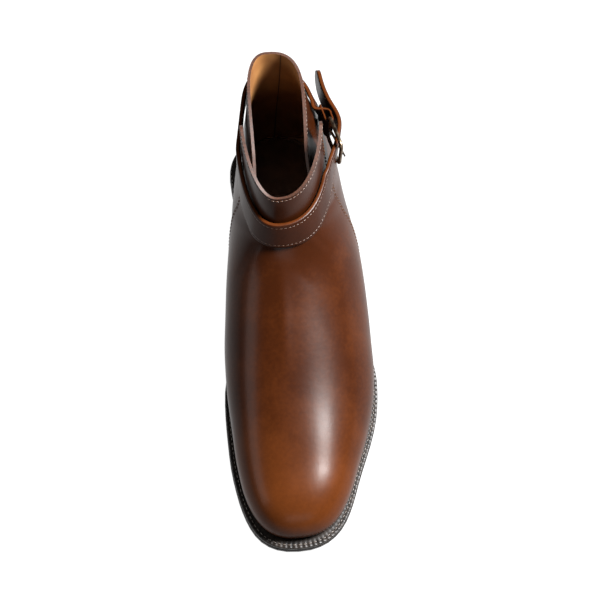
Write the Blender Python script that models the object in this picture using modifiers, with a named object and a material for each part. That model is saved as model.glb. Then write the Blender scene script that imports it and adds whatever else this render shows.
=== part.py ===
"""Jodhpur boot, left foot: a hollow leather ankle boot with a wrapped strap and a buckle.

World frame: the toe points along -Y, the wearer's outer side is +X, up is +Z, and the floor is
z = 0. The origin is the middle of the heel's tread. Sizes below are in millimetres, and a place
along the boot is the distance forward of the back end of the sole.
"""

import bmesh
import bpy
import numpy as np
from mathutils import Vector

MM = 0.001

# Driving sizes, for a men's boot of about size EU 43
SOLE_LENGTH = 308.0
HEEL_CENTRE = 34.0
OUTSOLE_THICK = 5.0
WELT_THICK = 3.0
INSOLE_THICK = 4.5
GAP = 0.3
FACET_CLEAR = 0.2
TOP_PIECE_THICK = 6.0
HEEL_BREAST = 75.0
LIFT_COUNT = 3
WALL = 1.9
LAP = 1.0
PINCH = 1.6
PINCH_HEIGHT = 9.0
WELT_UNDER_WALL = 1.0
EASING_FOOT = 4.0
EASING_FADE = 15.0
HEEL_INSET = 0.8
HEEL_TAPER = 2.4
HEEL_TAPER_POWER = 1.2
BREAST_RAKE = 3.0
BREAST_HOLLOW = 3.0
SOLE_EDGE_ROUND = 1.0

# How finely curved pieces are cut up
SIDE_SAMPLES = 120
BAND_SAMPLES = 90
VAMP_COLUMNS = 15
QUARTER_COLUMNS = 14
VAMP_BAND_ROWS = 9
QUARTER_BAND_ROWS = 14
EASED_ROWS = (10, 25, 6)

# The welt's edge in plan: its middle line and half width, before the ends are rounded
OUTLINE_COLUMNS = ("along", "middle", "half")
OUTLINE = (
    (0.0, 0.0, 35.0),
    (40.0, 0.3, 35.2),
    (60.0, 1.3, 34.3),
    (85.0, 3.6, 32.6),
    (110.0, 6.2, 33.2),
    (135.0, 7.4, 37.8),
    (160.0, 6.4, 45.0),
    (172.0, 5.2, 49.6),
    (185.0, 4.4, 52.6),
    (201.0, 3.4, 53.1),
    (216.0, 2.2, 52.0),
    (233.0, -0.1, 49.2),
    (250.0, -3.0, 45.2),
    (268.0, -5.1, 40.3),
    (285.0, -6.3, 37.5),
    (308.0, -8.1, 37.5),
)
HEEL_ROUND = 35.0
TOE_ROUND = 44.0
TOE_POWER = 2.3

# How far the upper's foot stands inside the welt's edge
INSET_COLUMNS = ("along", "inset")
INSET = (
    (0.0, 2.5),
    (60.0, 2.6),
    (110.0, 3.0),
    (150.0, 4.2),
    (190.0, 5.8),
    (225.0, 5.6),
    (308.0, 5.6),
)

# The underside of the outsole: heel seat, arch, flat tread under the ball, toe spring
UNDERSIDE_COLUMNS = ("along", "height")
UNDERSIDE = (
    (0.0, 24.5),
    (75.0, 22.3),
    (100.0, 18.6),
    (125.0, 12.0),
    (150.0, 5.4),
    (170.0, 1.3),
    (186.0, 0.0),
    (214.0, 0.0),
    (240.0, 0.8),
    (265.0, 2.6),
    (285.0, 4.8),
    (308.0, 8.0),
)

# The last. A row is one section: wide_out and wide_in are its greatest widths on the outer and the
# inner side of its middle line, which leans from the middle of the foot to the ridge. It lies
# in a plane seen edge-on from the side, starts where the upper meets the welt, or on the back of the
# shaft, and ends on the ridge over the foot. The first column runs along the upper's foot from the
# toe tip to the heel and then up the back of the shaft.
LAST_COLUMNS = (
    "station", "top_along", "top_height", "ridge_x", "wide_out", "wide_in",
    "widest", "low_power", "top_power", "flare_out", "flare_in",
)
LAST = (
    (0.0, 302.4, 45.4, -9.0, 33.3, 32.9, 0.16, 2.0, 2.34, 0.0, 0.0),
    (20.0, 282.4, 45.0, -8.6, 34.4, 33.6, 0.18, 2.0, 2.34, 0.0, 0.0),
    (38.0, 264.4, 46.4, -8.2, 38.7, 37.1, 0.20, 2.0, 2.32, 0.0, 0.0),
    (56.0, 246.0, 50.2, -8.0, 43.6, 41.3, 0.20, 2.0, 2.24, 0.0, 0.0),
    (76.0, 225.5, 55.2, -8.0, 47.8, 45.0, 0.20, 2.0, 2.14, 0.0, 0.0),
    (96.0, 204.5, 62.0, -8.0, 50.9, 47.8, 0.21, 2.0, 2.06, 0.0, 0.0),
    (116.0, 183.0, 71.0, -8.0, 52.2, 49.0, 0.22, 2.0, 2.0, 0.0, 0.0),
    (136.0, 164.0, 80.0, -8.0, 51.1, 48.9, 0.24, 2.0, 1.97, 0.0, 0.0),
    (156.0, 149.0, 88.5, -8.0, 49.6, 47.8, 0.26, 2.0, 1.95, 0.0, 0.0),
    (176.0, 139.5, 95.5, -8.0, 48.8, 45.9, 0.28, 2.0, 1.96, 0.0, 0.0),
    (196.0, 134.0, 101.0, -8.0, 48.4, 43.0, 0.30, 2.0, 2.00, 0.0, 0.0),
    (216.0, 131.0, 104.5, -8.0, 48.1, 39.7, 0.32, 2.0, 2.05, 0.0, 0.0),
    (241.0, 129.0, 108.0, -8.0, 47.4, 36.3, 0.33, 2.0, 2.10, 0.0, 0.0),
    (261.0, 127.8, 110.5, -8.4, 45.6, 34.2, 0.34, 2.1, 2.15, 0.0, 0.0),
    (285.0, 126.5, 113.5, -8.8, 44.6, 30.8, 0.35, 2.2, 2.20, 0.0, 0.0),
    (298.5, 125.8, 115.5, -9.2, 43.6, 29.4, 0.35, 2.3, 2.22, 0.0, 0.0),
    (310.0, 125.2, 117.6, -9.5, 42.4, 28.2, 0.35, 2.35, 2.24, 0.0, 0.0),
    (325.0, 124.3, 120.8, -9.8, 40.0, 26.4, 0.35, 2.4, 2.26, 0.0, 0.0),
    (342.0, 123.3, 124.8, -10.0, 36.8, 24.2, 0.34, 2.5, 2.28, 0.4, 0.4),
    (360.0, 122.4, 129.2, -10.0, 32.8, 21.8, 0.34, 2.55, 2.30, 2.0, 1.4),
    (377.0, 121.5, 134.2, -10.0, 28.8, 19.8, 0.34, 2.6, 2.30, 4.4, 2.8),
    (393.0, 120.3, 140.0, -10.0, 25.2, 18.0, 0.33, 2.6, 2.30, 7.0, 4.2),
    (408.0, 118.5, 147.0, -10.0, 23.0, 16.8, 0.33, 2.6, 2.30, 9.0, 5.4),
    (423.5, 116.3, 157.0, -10.0, 22.0, 16.3, 0.33, 2.6, 2.30, 10.2, 6.4),
)
HEEL_STATION = 298.5
LAST_TOP = 423.5

# The back of the shaft, seen from the side
BACK_COLUMNS = ("rise", "along", "middle")
BACK = (
    (0.0, 2.5, 0.0),
    (12.0, 2.0, 0.0),
    (27.0, 2.2, -0.5),
    (44.0, 4.2, -1.6),
    (62.0, 8.0, -3.4),
    (79.0, 11.0, -5.2),
    (95.0, 12.3, -6.8),
    (110.0, 12.0, -7.9),
    (125.0, 11.0, -8.6),
)

# Edges seen from the side: the vamp's back edge, the vamp's top edge and the quarters' collar
VAMP_BACK_COLUMNS = ("height", "along")
VAMP_BACK = (
    (22.0, 120.5),
    (34.0, 113.5),
    (46.0, 107.0),
    (68.0, 95.0),
    (92.0, 83.5),
    (115.0, 73.4),
    (130.0, 67.4),
    (142.0, 64.6),
    (148.0, 65.2),
    (151.0, 68.2),
    (152.6, 73.0),
    (165.0, 95.0),
)
VAMP_TOP_COLUMNS = ("along", "height")
VAMP_TOP = (
    (50.0, 153.5),
    (66.0, 152.0),
    (90.0, 149.5),
    (122.0, 144.5),
)
COLLAR_COLUMNS = ("along", "height")
COLLAR = (
    (0.0, 152.0),
    (40.0, 152.0),
    (60.0, 150.0),
    (80.0, 142.0),
    (96.0, 130.5),
    (110.0, 121.0),
    (130.0, 119.0),
)
QUARTER_FRONT_STATION = 166.0

# Strap and buckle. A place in plan is x and the distance along the boot.
STRAP_WIDE = 18.0
STRAP_THICK = 3.0
STRAP_CLEAR = 0.8
STRAP_BACK_TOP = 130.0
STRAP_DROP = 0.045
SHAFT_CENTRE = (-3.0, 66.0)
STRAP_CORNER = 0.28
FOLD_BEHIND = (12.0, 7.0, 2.5)
FOLD_OUTSIDE = (2.5, 6.0)
TIP_BLUNT = 0.6
HOLE_CLEAR = 1.3 * GAP
BELT_POINTS = 320
BELT_ROWS = 64
BELT_EASING = 8
BELT_FIRST = 0.80
BELT_SWEEP = 4.72
BAR_RADIUS = 1.3
FOLD_THICK = 1.5
BACK_BAR = (29.6, 50.5)
FRAME_SLANT = 0.24
FRAME_LONG = 24.0
FRAME_HIGH = 23.4
FRAME_CORNER = 4.0
PRONG_RADIUS = 0.9
PRONG_PAST = 1.6
# The free end's x and along, and how far its upper edge leans in and its lower edge out
FREE_END = (
    (26.8, 87.0, 1.8),
    (28.3, 82.0, 1.5),
    (29.8, 77.3, 1.1),
    (31.2, 73.0, 0.7),
    (32.5, 69.0, 0.3),
    (34.2, 63.0, 0.0),
    (35.6, 57.5, 0.0),
    (36.1, 52.0, 0.0),
    (35.2, 46.6, 0.0),
    (33.3, 41.6, 0.0),
    (31.2, 36.8, 0.0),
    (29.4, 31.8, 0.0),
    (28.0, 26.8, 0.0),
    (27.0, 21.8, 0.0),
    (26.3, 16.8, 0.0),
    (25.9, 12.3, 0.0),
    (25.75, 10.4, 0.0),
    (25.7, 9.4, 0.0),
)


def clear_scene():
    for old in list(bpy.data.objects):
        bpy.data.objects.remove(old, do_unlink=True)


def columns(names, rows):
    """The table as one array per named column."""
    table = np.array(rows, dtype=float)
    return {name: table[:, i] for i, name in enumerate(names)}


def spline(x, xs, ys):
    """Natural cubic spline through the table's points, read at x."""
    count = len(xs)
    step = np.diff(xs)
    slope = np.diff(ys) / step
    matrix = np.eye(count)
    right = np.zeros(count)
    for i in range(1, count - 1):
        matrix[i, i - 1:i + 2] = step[i - 1], 2 * (step[i - 1] + step[i]), step[i]
        right[i] = 6 * (slope[i] - slope[i - 1])
    bend = np.linalg.solve(matrix, right)
    x = np.asarray(x, dtype=float)
    i = np.clip(np.searchsorted(xs, x) - 1, 0, count - 2)
    before = x - xs[i]
    after = xs[i + 1] - x
    return (
        (bend[i] * after ** 3 + bend[i + 1] * before ** 3) / (6 * step[i])
        + (ys[i] / step[i] - bend[i] * step[i] / 6) * after
        + (ys[i + 1] / step[i] - bend[i + 1] * step[i] / 6) * before
    )


def monotone(x, xs, ys):
    """Cubic curve through the table's points that never overshoots them, read at x."""
    step = np.diff(xs)
    slope = np.diff(ys) / step
    tangent = np.zeros(len(xs))
    tangent[0] = slope[0]
    tangent[-1] = slope[-1]
    for i in range(1, len(xs) - 1):
        if slope[i - 1] * slope[i] > 0:
            tangent[i] = 2 / (1 / slope[i - 1] + 1 / slope[i])
    x = np.asarray(x, dtype=float)
    i = np.clip(np.searchsorted(xs, x) - 1, 0, len(xs) - 2)
    t = (x - xs[i]) / step[i]
    return (
        ys[i] * (1 + 2 * t) * (1 - t) ** 2
        + tangent[i] * step[i] * t * (1 - t) ** 2
        + ys[i + 1] * t * t * (3 - 2 * t)
        + tangent[i + 1] * step[i] * t * t * (t - 1)
    )


OUTLINE_TABLE = columns(OUTLINE_COLUMNS, OUTLINE)
INSET_TABLE = columns(INSET_COLUMNS, INSET)
UNDERSIDE_TABLE = columns(UNDERSIDE_COLUMNS, UNDERSIDE)
LAST_TABLE = columns(LAST_COLUMNS, LAST)
BACK_TABLE = columns(BACK_COLUMNS, BACK)
VAMP_BACK_TABLE = columns(VAMP_BACK_COLUMNS, VAMP_BACK)
VAMP_TOP_TABLE = columns(VAMP_TOP_COLUMNS, VAMP_TOP)
COLLAR_TABLE = columns(COLLAR_COLUMNS, COLLAR)


def underside(along):
    return monotone(along, UNDERSIDE_TABLE["along"], UNDERSIDE_TABLE["height"])


def upper_inset(along):
    return monotone(along, INSET_TABLE["along"], INSET_TABLE["inset"])


def middle(along):
    return spline(along, OUTLINE_TABLE["along"], OUTLINE_TABLE["middle"])


def half_width(along, inset, heel_inset, toe_inset):
    """Half the width of the outline drawn inwards by inset, with its round ends."""
    wide = spline(along, OUTLINE_TABLE["along"], OUTLINE_TABLE["half"]) - inset
    from_heel = np.clip((along - heel_inset) / (HEEL_ROUND - heel_inset), 0, 1)
    from_toe = np.clip((SOLE_LENGTH - toe_inset - along) / (TOE_ROUND - toe_inset), 0, 1)
    round_heel = np.sqrt(1 - (1 - from_heel) ** 2)
    round_toe = (1 - (1 - from_toe) ** TOE_POWER) ** (1 / TOE_POWER)
    return wide * round_heel * round_toe


FOOT_HEEL = float(upper_inset(0.0))
FOOT_TOE = float(upper_inset(SOLE_LENGTH))
FOOT_TIP = SOLE_LENGTH - FOOT_TOE
FOOT_TOE_ROUND = TOE_ROUND - FOOT_TOE


def foot_half_width(along):
    return half_width(along, upper_inset(along), FOOT_HEEL, FOOT_TOE)


def foot_height(along):
    """Height of the upper's lower edge, just over the welt."""
    return underside(along) + OUTSOLE_THICK + WELT_THICK + 2 * GAP + FACET_CLEAR


def section_side(station, outward, flared, samples):
    """One side of one section, from its foot to the ridge: rows of x, along and height."""
    row = {name: float(spline(station, LAST_TABLE["station"], LAST_TABLE[name]))
           for name in LAST_COLUMNS[1:]}
    rise = max(station - HEEL_STATION, 0.0)
    tip_round = 1.0
    if station < FOOT_TOE_ROUND:
        tip_round = (1 - (1 - station / FOOT_TOE_ROUND) ** TOE_POWER) ** (1 / TOE_POWER)
        row["top_along"] = FOOT_TIP - station
    if rise > 0:
        foot_along = float(monotone(rise, BACK_TABLE["rise"], BACK_TABLE["along"]))
        foot_z = float(foot_height(FOOT_HEEL)) + rise
        foot_half = 0.0
        foot_x = float(spline(rise, BACK_TABLE["rise"], BACK_TABLE["middle"]))
    else:
        foot_along = FOOT_TIP - station
        foot_z = float(foot_height(foot_along))
        foot_half = float(foot_half_width(foot_along))
        foot_x = float(middle(foot_along))
    side = "out" if outward > 0 else "in"
    wide = row["wide_" + side] * tip_round
    if flared:
        wide += max(row["flare_" + side], 0.0)
    foot = min(foot_half, wide * 0.999)
    top_z = foot_z + (row["top_height"] - foot_z) * tip_round
    widest = row["widest"]
    low = row["low_power"]
    top = row["top_power"]
    ratio = (1 - (foot / max(wide, 1e-6)) ** low) ** (1 / low)
    depth = widest / ratio
    start = np.arcsin(min(ratio ** (low / 2), 1.0))
    turn = np.linspace(start, 0, samples)
    low_x = wide * np.cos(turn) ** (2 / low)
    low_part = widest - depth * np.sin(turn) ** (2 / low)
    turn = np.linspace(0, np.pi / 2, samples)[1:]
    top_x = wide * np.clip(np.cos(turn), 0, 1) ** (2 / top)
    top_part = widest + (1 - widest) * np.sin(turn) ** (2 / top)
    across = np.concatenate([low_x, top_x])
    part = np.concatenate([low_part, top_part])
    along = foot_along + (row["top_along"] - foot_along) * part
    height = foot_z + (top_z - foot_z) * part
    centre = foot_x + (row["ridge_x"] - foot_x) * part
    return np.stack([centre + outward * across, along, height], axis=1)


def resample(points, start, count):
    """count points evenly spaced along the line from its fraction start to its end."""
    length = np.concatenate([[0], np.cumsum(np.linalg.norm(np.diff(points, axis=0), axis=1))])
    places = np.linspace(start * length[-1], length[-1], count)
    return np.stack([np.interp(places, length, points[:, i]) for i in range(3)], axis=1)


def edge_fraction(points):
    """Where the vamp's back edge crosses this side of a section, as a fraction of its length."""
    length = np.concatenate([[0], np.cumsum(np.linalg.norm(np.diff(points, axis=0), axis=1))])
    edge = monotone(points[:, 2], VAMP_BACK_TABLE["height"], VAMP_BACK_TABLE["along"])
    behind = np.nonzero(points[:, 1] < edge)[0]
    if len(behind) == 0:
        return 0.0
    i = min(behind[-1], len(points) - 2)
    gap_here = edge[i] - points[i, 1]
    gap_next = points[i + 1, 1] - edge[i + 1]
    part = gap_here / max(gap_here + gap_next, 1e-9)
    return (length[i] + part * (length[i + 1] - length[i])) / length[-1]


def section_line(station, is_vamp, count):
    """A whole section from the inner side over the ridge to the outer side."""
    halves = []
    for outward in (-1, 1):
        side = section_side(station, outward, is_vamp, SIDE_SAMPLES)
        start = edge_fraction(side) if is_vamp else 0.0
        halves.append(resample(side, start, count))
    return np.concatenate([halves[0], halves[1][-2::-1]])


def trimmed_grid(stations, band_rows, last_station, top_edge, is_vamp, count):
    """Sections at the stations, then a band of rows that ends on the edge seen from the side."""
    body = [section_line(station, is_vamp, count) for station in stations]
    dense_stations = np.linspace(stations[-1], last_station, BAND_SAMPLES)
    dense = np.array([section_line(station, is_vamp, count) for station in dense_stations])
    over = dense[:, :, 2] - top_edge(dense[:, :, 1])
    band = np.zeros((band_rows, dense.shape[1], 3))
    for k in range(dense.shape[1]):
        above = np.nonzero(over[:, k] > 0)[0]
        i = above[0] if len(above) else len(dense_stations) - 1
        if i == 0:
            end = 0.0
        else:
            end = i - over[i, k] / (over[i, k] - over[i - 1, k]) if len(above) else float(i)
        places = np.linspace(0, end, band_rows + 1)[1:]
        for axis in range(3):
            band[:, k, axis] = np.interp(places, np.arange(len(dense)), dense[:, k, axis])
    return np.concatenate([np.array(body), band])


def pinched(grid, lift):
    """The grid drawn in over the welt, where the leather turns under the foot, and lifted off it."""
    out = grid.copy()
    foot = foot_height(np.clip(grid[:, :, 1], FOOT_HEEL, FOOT_TIP))
    above = np.clip((grid[:, :, 2] - foot) / PINCH_HEIGHT, 0, 1)
    draw = PINCH * (1 - above) ** 2
    centre_along = np.clip(grid[:, :, 1], HEEL_ROUND, SOLE_LENGTH - TOE_ROUND)
    centre_x = middle(centre_along)
    away_x = grid[:, :, 0] - centre_x
    away_along = grid[:, :, 1] - centre_along
    reach = np.maximum(np.hypot(away_x, away_along), 1e-6)
    out[:, :, 0] -= draw * away_x / reach
    out[:, :, 1] -= draw * away_along / reach
    out[:, :, 2] += lift * (1 - above)
    return out


def to_world(points):
    """Millimetres across, along and up into metres in the world frame."""
    points = np.asarray(points, dtype=float)
    world = np.empty_like(points)
    world[..., 0] = points[..., 0] * MM
    world[..., 1] = (HEEL_CENTRE - points[..., 1]) * MM
    world[..., 2] = points[..., 2] * MM
    return world


# Looks: base colour, roughness, metallic
BROWN_CALF = ((0.09, 0.035, 0.012), 0.3, 0.0)
BLACK_EDGE = ((0.02, 0.017, 0.015), 0.4, 0.0)
BLACK_RUBBER = ((0.02, 0.02, 0.02), 0.6, 0.0)
TAN_LEATHER = ((0.45, 0.25, 0.1), 0.6, 0.0)
DARK_BRASS = ((0.12, 0.09, 0.06), 0.35, 1.0)


def own_material(name, look):
    """A material for one piece alone, named after it."""
    colour, roughness, metallic = look
    made = bpy.data.materials.new(name)
    made.use_nodes = True
    shader = made.node_tree.nodes["Principled BSDF"]
    shader.inputs["Base Color"].default_value = (*colour, 1.0)
    shader.inputs["Roughness"].default_value = roughness
    shader.inputs["Metallic"].default_value = metallic
    return made


def add_mesh(name, points, faces, look, collection):
    mesh = bpy.data.meshes.new(name)
    mesh.from_pydata([tuple(p) for p in to_world(points)], [], faces)
    mesh.validate()
    mesh.shade_smooth()
    made = bpy.data.objects.new(name, mesh)
    made.data.materials.append(own_material(name, look))
    collection.objects.link(made)
    return made


def weld(made, distance):
    """Makes points that lie together one, and turns the faces outwards."""
    work = bmesh.new()
    work.from_mesh(made.data)
    bmesh.ops.remove_doubles(work, verts=work.verts, dist=distance)
    bmesh.ops.dissolve_degenerate(work, edges=work.edges, dist=distance)
    bmesh.ops.recalc_face_normals(work, faces=work.faces)
    work.to_mesh(made.data)
    work.free()


# Plates and rings of the bottom

HEEL_STEPS = 9
WAIST_STEPS = 24
TOE_STEPS = 11


def outline_stations(heel_inset, toe_inset):
    """Places along one side of the outline, closer together round its ends."""
    heel_turn = np.linspace(0, np.pi / 2, HEEL_STEPS)
    toe_turn = np.linspace(np.pi / 2, 0, TOE_STEPS)
    heel = heel_inset + (HEEL_ROUND - heel_inset) * (1 - np.cos(heel_turn))
    toe = SOLE_LENGTH - toe_inset - (TOE_ROUND - toe_inset) * (1 - np.cos(toe_turn))
    waist = np.linspace(HEEL_ROUND, SOLE_LENGTH - TOE_ROUND, WAIST_STEPS + 2)[1:-1]
    return np.concatenate([heel, waist, toe])


def outline_loop(inset_rule, height_rule):
    """A closed loop: up the outer side from the heel to the toe, then back down the inner side."""
    heel_inset = float(inset_rule(0.0))
    toe_inset = float(inset_rule(SOLE_LENGTH))
    along = outline_stations(heel_inset, toe_inset)
    half = half_width(along, inset_rule(along), heel_inset, toe_inset)
    centre = middle(along)
    height = height_rule(along)
    outer = np.stack([centre + half, along, height], axis=1)
    inner = np.stack([centre - half, along, height], axis=1)
    return np.concatenate([outer, inner[-2:0:-1]])


def flat_inset(amount):
    return lambda along: np.full_like(np.asarray(along, dtype=float), amount)


def ring_faces(loop_count, loop_size, closed):
    """Quads between each loop and the next, and from the last to the first when closed."""
    faces = []
    for j in range(loop_count if closed else loop_count - 1):
        after = (j + 1) % loop_count
        for i in range(loop_size):
            k = (i + 1) % loop_size
            faces.append((j * loop_size + i, j * loop_size + k,
                          after * loop_size + k, after * loop_size + i))
    return faces


def cap_faces(start, loop_size):
    """A cap of strips across a loop whose first point and middle point are its ends."""
    faces = []
    half = loop_size // 2
    for i in range(half):
        left = start + i
        left_next = start + i + 1
        right = start + (loop_size - i) % loop_size
        right_next = start + loop_size - i - 1
        if left == right:
            faces.append((left, left_next, right_next))
        elif left_next == right_next:
            faces.append((left, left_next, right))
        else:
            faces.append((left, left_next, right_next, right))
    return faces


def plate(name, loops, look, collection):
    size = len(loops[0])
    faces = ring_faces(len(loops), size, False)
    faces += cap_faces(0, size)
    faces += cap_faces((len(loops) - 1) * size, size)
    made = add_mesh(name, np.concatenate(loops), faces, look, collection)
    weld(made, 1e-7)
    return made


def build_outsole(look, collection):
    loops = [
        outline_loop(flat_inset(SOLE_EDGE_ROUND), underside),
        outline_loop(flat_inset(0.3), lambda a: underside(a) + 0.3 * SOLE_EDGE_ROUND),
        outline_loop(flat_inset(0.0), lambda a: underside(a) + SOLE_EDGE_ROUND),
        outline_loop(flat_inset(0.0), lambda a: underside(a) + OUTSOLE_THICK - 0.5 * SOLE_EDGE_ROUND),
        outline_loop(flat_inset(0.5), lambda a: underside(a) + OUTSOLE_THICK),
    ]
    return plate("outsole", loops, look, collection)


INNER_EDGE = PINCH + LAP + WALL + WELT_UNDER_WALL


def build_welt(look, collection):
    def base(along):
        return underside(along) + OUTSOLE_THICK + GAP

    loops = [
        outline_loop(lambda a: upper_inset(a) + INNER_EDGE, base),
        outline_loop(flat_inset(0.6), base),
        outline_loop(flat_inset(0.3), lambda a: base(a) + 0.4),
        outline_loop(flat_inset(0.3), lambda a: base(a) + WELT_THICK - 0.9),
        outline_loop(flat_inset(0.9), lambda a: base(a) + WELT_THICK),
        outline_loop(lambda a: upper_inset(a) + INNER_EDGE, lambda a: base(a) + WELT_THICK),
    ]
    size = len(loops[0])
    made = add_mesh("welt", np.concatenate(loops), ring_faces(len(loops), size, True), look, collection)
    weld(made, 1e-7)
    return made


def build_insole(look, collection):
    def inset(along):
        return upper_inset(along) + INNER_EDGE + GAP

    def base(along):
        return underside(along) + OUTSOLE_THICK + GAP

    loops = [
        outline_loop(inset, base),
        outline_loop(inset, lambda a: base(a) + INSOLE_THICK),
    ]
    return plate("insole", loops, look, collection)


def heel_loop(inset, breast, height_rule):
    """The loop of one heel layer: round the back, along both sides and across the breast."""
    turn = np.linspace(0, np.pi / 2, HEEL_STEPS)
    back = inset + (HEEL_ROUND - inset) * (1 - np.cos(turn))
    side = np.linspace(HEEL_ROUND, breast, 7)[1:]
    along = np.concatenate([back, side])
    half = half_width(along, inset, inset, 0.0)
    outer = np.stack([middle(along) + half, along], axis=1)
    inner = np.stack([middle(along) - half, along], axis=1)
    across = np.linspace(1, -1, 9)[1:-1]
    front_x = middle(breast) + half[-1] * across
    front_along = breast - BREAST_HOLLOW * (1 - across ** 2)
    front = np.stack([front_x, front_along], axis=1)
    plan = np.concatenate([outer, front, inner[::-1][:-1]])
    return np.concatenate([plan, height_rule(plan[:, 1])[:, None]], axis=1)


def fan_plate(name, loops, look, collection):
    """A closed layer whose caps are fans from the middle of each end loop."""
    size = len(loops[0])
    points = np.concatenate(loops)
    faces = ring_faces(len(loops), size, False)
    for start in (0, (len(loops) - 1) * size):
        centre = points[start:start + size].mean(axis=0)
        hub = len(points)
        points = np.concatenate([points, centre[None]])
        faces += [(start + i, start + (i + 1) % size, hub) for i in range(size)]
    made = add_mesh(name, points, faces, look, collection)
    weld(made, 1e-7)
    return made


def build_heel(lift_look, top_piece_look, collection):
    seat_top = underside(0.0) - GAP

    def inset_at(height):
        return HEEL_INSET + HEEL_TAPER * (1 - height / seat_top) ** HEEL_TAPER_POWER

    def breast_at(height):
        return HEEL_BREAST - BREAST_RAKE * (1 - height / seat_top)

    def layer_loops(low_rule, high_rule, low, high):
        loops = []
        for part in (0.0, 1.0):
            height = low + (high - low) * part
            loops.append(heel_loop(
                inset_at(height), breast_at(height),
                lambda a, part=part: low_rule(a) + (high_rule(a) - low_rule(a)) * part))
        return loops

    def lift_edge(number):
        part = number / LIFT_COUNT
        bottom = TOP_PIECE_THICK + GAP
        return lambda a: bottom + (underside(a) - bottom) * part

    made = [fan_plate(
        "heel_top_piece",
        layer_loops(lambda a: 0.0 * a, lambda a: 0.0 * a + TOP_PIECE_THICK, 0.0, TOP_PIECE_THICK),
        top_piece_look, collection)]
    for number in range(LIFT_COUNT):
        low_rule = lift_edge(number)
        high_edge = lift_edge(number + 1)
        made.append(fan_plate(
            f"heel_lift_{number + 1}",
            layer_loops(low_rule, lambda a, edge=high_edge: edge(a) - GAP,
                        float(low_rule(0.0)), float(high_edge(0.0)) - GAP),
            lift_look, collection))
    return made


# The upper: the quarters stand inside the vamp, and both come from the last

def grid_faces(rows, columns_count):
    return [
        (j * columns_count + i, j * columns_count + i + 1,
         (j + 1) * columns_count + i + 1, (j + 1) * columns_count + i)
        for j in range(rows - 1) for i in range(columns_count - 1)
    ]


def shell(name, grid, look, collection):
    """An open sheet made a wall: the sheet is its outer face."""
    rows, across = grid.shape[:2]
    made = add_mesh(name, grid.reshape(-1, 3), grid_faces(rows, across), look, collection)
    weld(made, 1e-5)
    outer = made.modifiers.new("wall", "SOLIDIFY")
    outer.thickness = WALL * MM
    outer.offset = -1.0
    outer.use_even_offset = True
    return made


def vamp_stations():
    turn = np.linspace(0, np.pi / 2, 9)
    toe = FOOT_TOE_ROUND * (1 - np.cos(turn))
    return np.concatenate([toe, np.linspace(FOOT_TOE_ROUND, 330.0, 30)[1:]])


def quarter_stations():
    waist = np.linspace(QUARTER_FRONT_STATION, 262.0, 13)
    turn = np.linspace(0, np.pi / 2, 7)
    heel = 262.0 + (HEEL_STATION - 262.0) * np.sin(turn)
    return np.concatenate([waist, heel[1:]])


def vamp_top(along):
    return spline(along, VAMP_TOP_TABLE["along"], VAMP_TOP_TABLE["height"])


def collar(along):
    return monotone(along, COLLAR_TABLE["along"], COLLAR_TABLE["height"])


def drawn_in(grid, amount):
    """The sheet moved inwards, square to itself; where its two sides meet, they move together."""
    down = np.gradient(grid, axis=0)
    across = np.gradient(grid, axis=1)
    normal = np.cross(across, down)
    normal /= np.maximum(np.linalg.norm(normal, axis=2), 1e-9)[:, :, None]
    meeting = np.linalg.norm(grid[:, 0] - grid[:, -1], axis=1) < 1e-3
    shared = normal[meeting, 0] + normal[meeting, -1]
    shared /= np.linalg.norm(shared, axis=1)[:, None]
    normal[meeting, 0] = shared
    normal[meeting, -1] = shared
    towards = np.sign((normal * (np.array([0.0, 100.0, 60.0]) - grid)).sum())
    return grid + normal * towards * amount


def eased(grid, first, last, passes):
    """The sheet's rows from first to last drawn smooth, except at the foot, so no crease crosses them."""
    out = grid.copy()
    joined = np.linalg.norm(grid[:, 0] - grid[:, -1], axis=1) < 1e-3
    foot = foot_height(np.clip(grid[:, :, 1], FOOT_HEEL, FOOT_TIP))
    share = np.clip((grid[:, :, 2] - foot - EASING_FOOT) / EASING_FADE, 0, 1)
    rows = np.arange(len(grid))
    part = np.clip((rows - first) / (last - 1 - first), 0, 1)
    share = share * np.sqrt(np.clip(np.sin(np.pi * part), 0, 1))[:, None]
    for _ in range(passes):
        between = (out[:-2] + out[2:]) / 2
        out[1:-1] += (between - out[1:-1]) * share[1:-1, :, None] * 0.5
    both = (out[:, 0] + out[:, -1]) / 2
    out[joined, 0] = both[joined]
    out[joined, -1] = both[joined]
    return out


def vamp_sheet(across):
    grid = trimmed_grid(vamp_stations(), VAMP_BAND_ROWS, LAST_TOP, vamp_top, True, across)
    return pinched(grid, GAP)


def quarter_sheet(across):
    grid = trimmed_grid(quarter_stations(), QUARTER_BAND_ROWS, LAST_TOP, collar, False, across)
    grid = pinched(eased(grid, *EASED_ROWS), 0.0)
    return drawn_in(grid, LAP)


def build_upper(vamp_grid, quarter_grid, look, collection, cutters):
    """One hollow solid: the vamp's wall with the quarters' wall joined inside it."""
    upper = shell("upper", vamp_grid, look, collection)
    quarters = shell("quarters", quarter_grid, look, cutters)
    quarters.hide_render = True
    quarters.display_type = "WIRE"
    join = upper.modifiers.new("join quarters", "BOOLEAN")
    join.operation = "UNION"
    join.solver = "EXACT"
    join.object = quarters
    return upper


# The strap: a belt drawn tight round the shaft, folded round the buckle's back bar at one end,
# and with its other end under the front bar, over the back bar and on as a free tail

def shaft_contour(grid, height_rule):
    """Where each column of the grid passes a slanting level, as rows of x and along."""
    found = []
    over = grid[:, :, 2] - height_rule(grid[:, :, 1])
    for k in range(grid.shape[1]):
        above = np.nonzero(over[:, k] >= 0)[0]
        if len(above) == 0 or above[0] == 0:
            continue
        i = above[0]
        part = over[i - 1, k] / (over[i - 1, k] - over[i, k])
        found.append((grid[i - 1, k] + (grid[i, k] - grid[i - 1, k]) * part)[:2])
    return found


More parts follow.
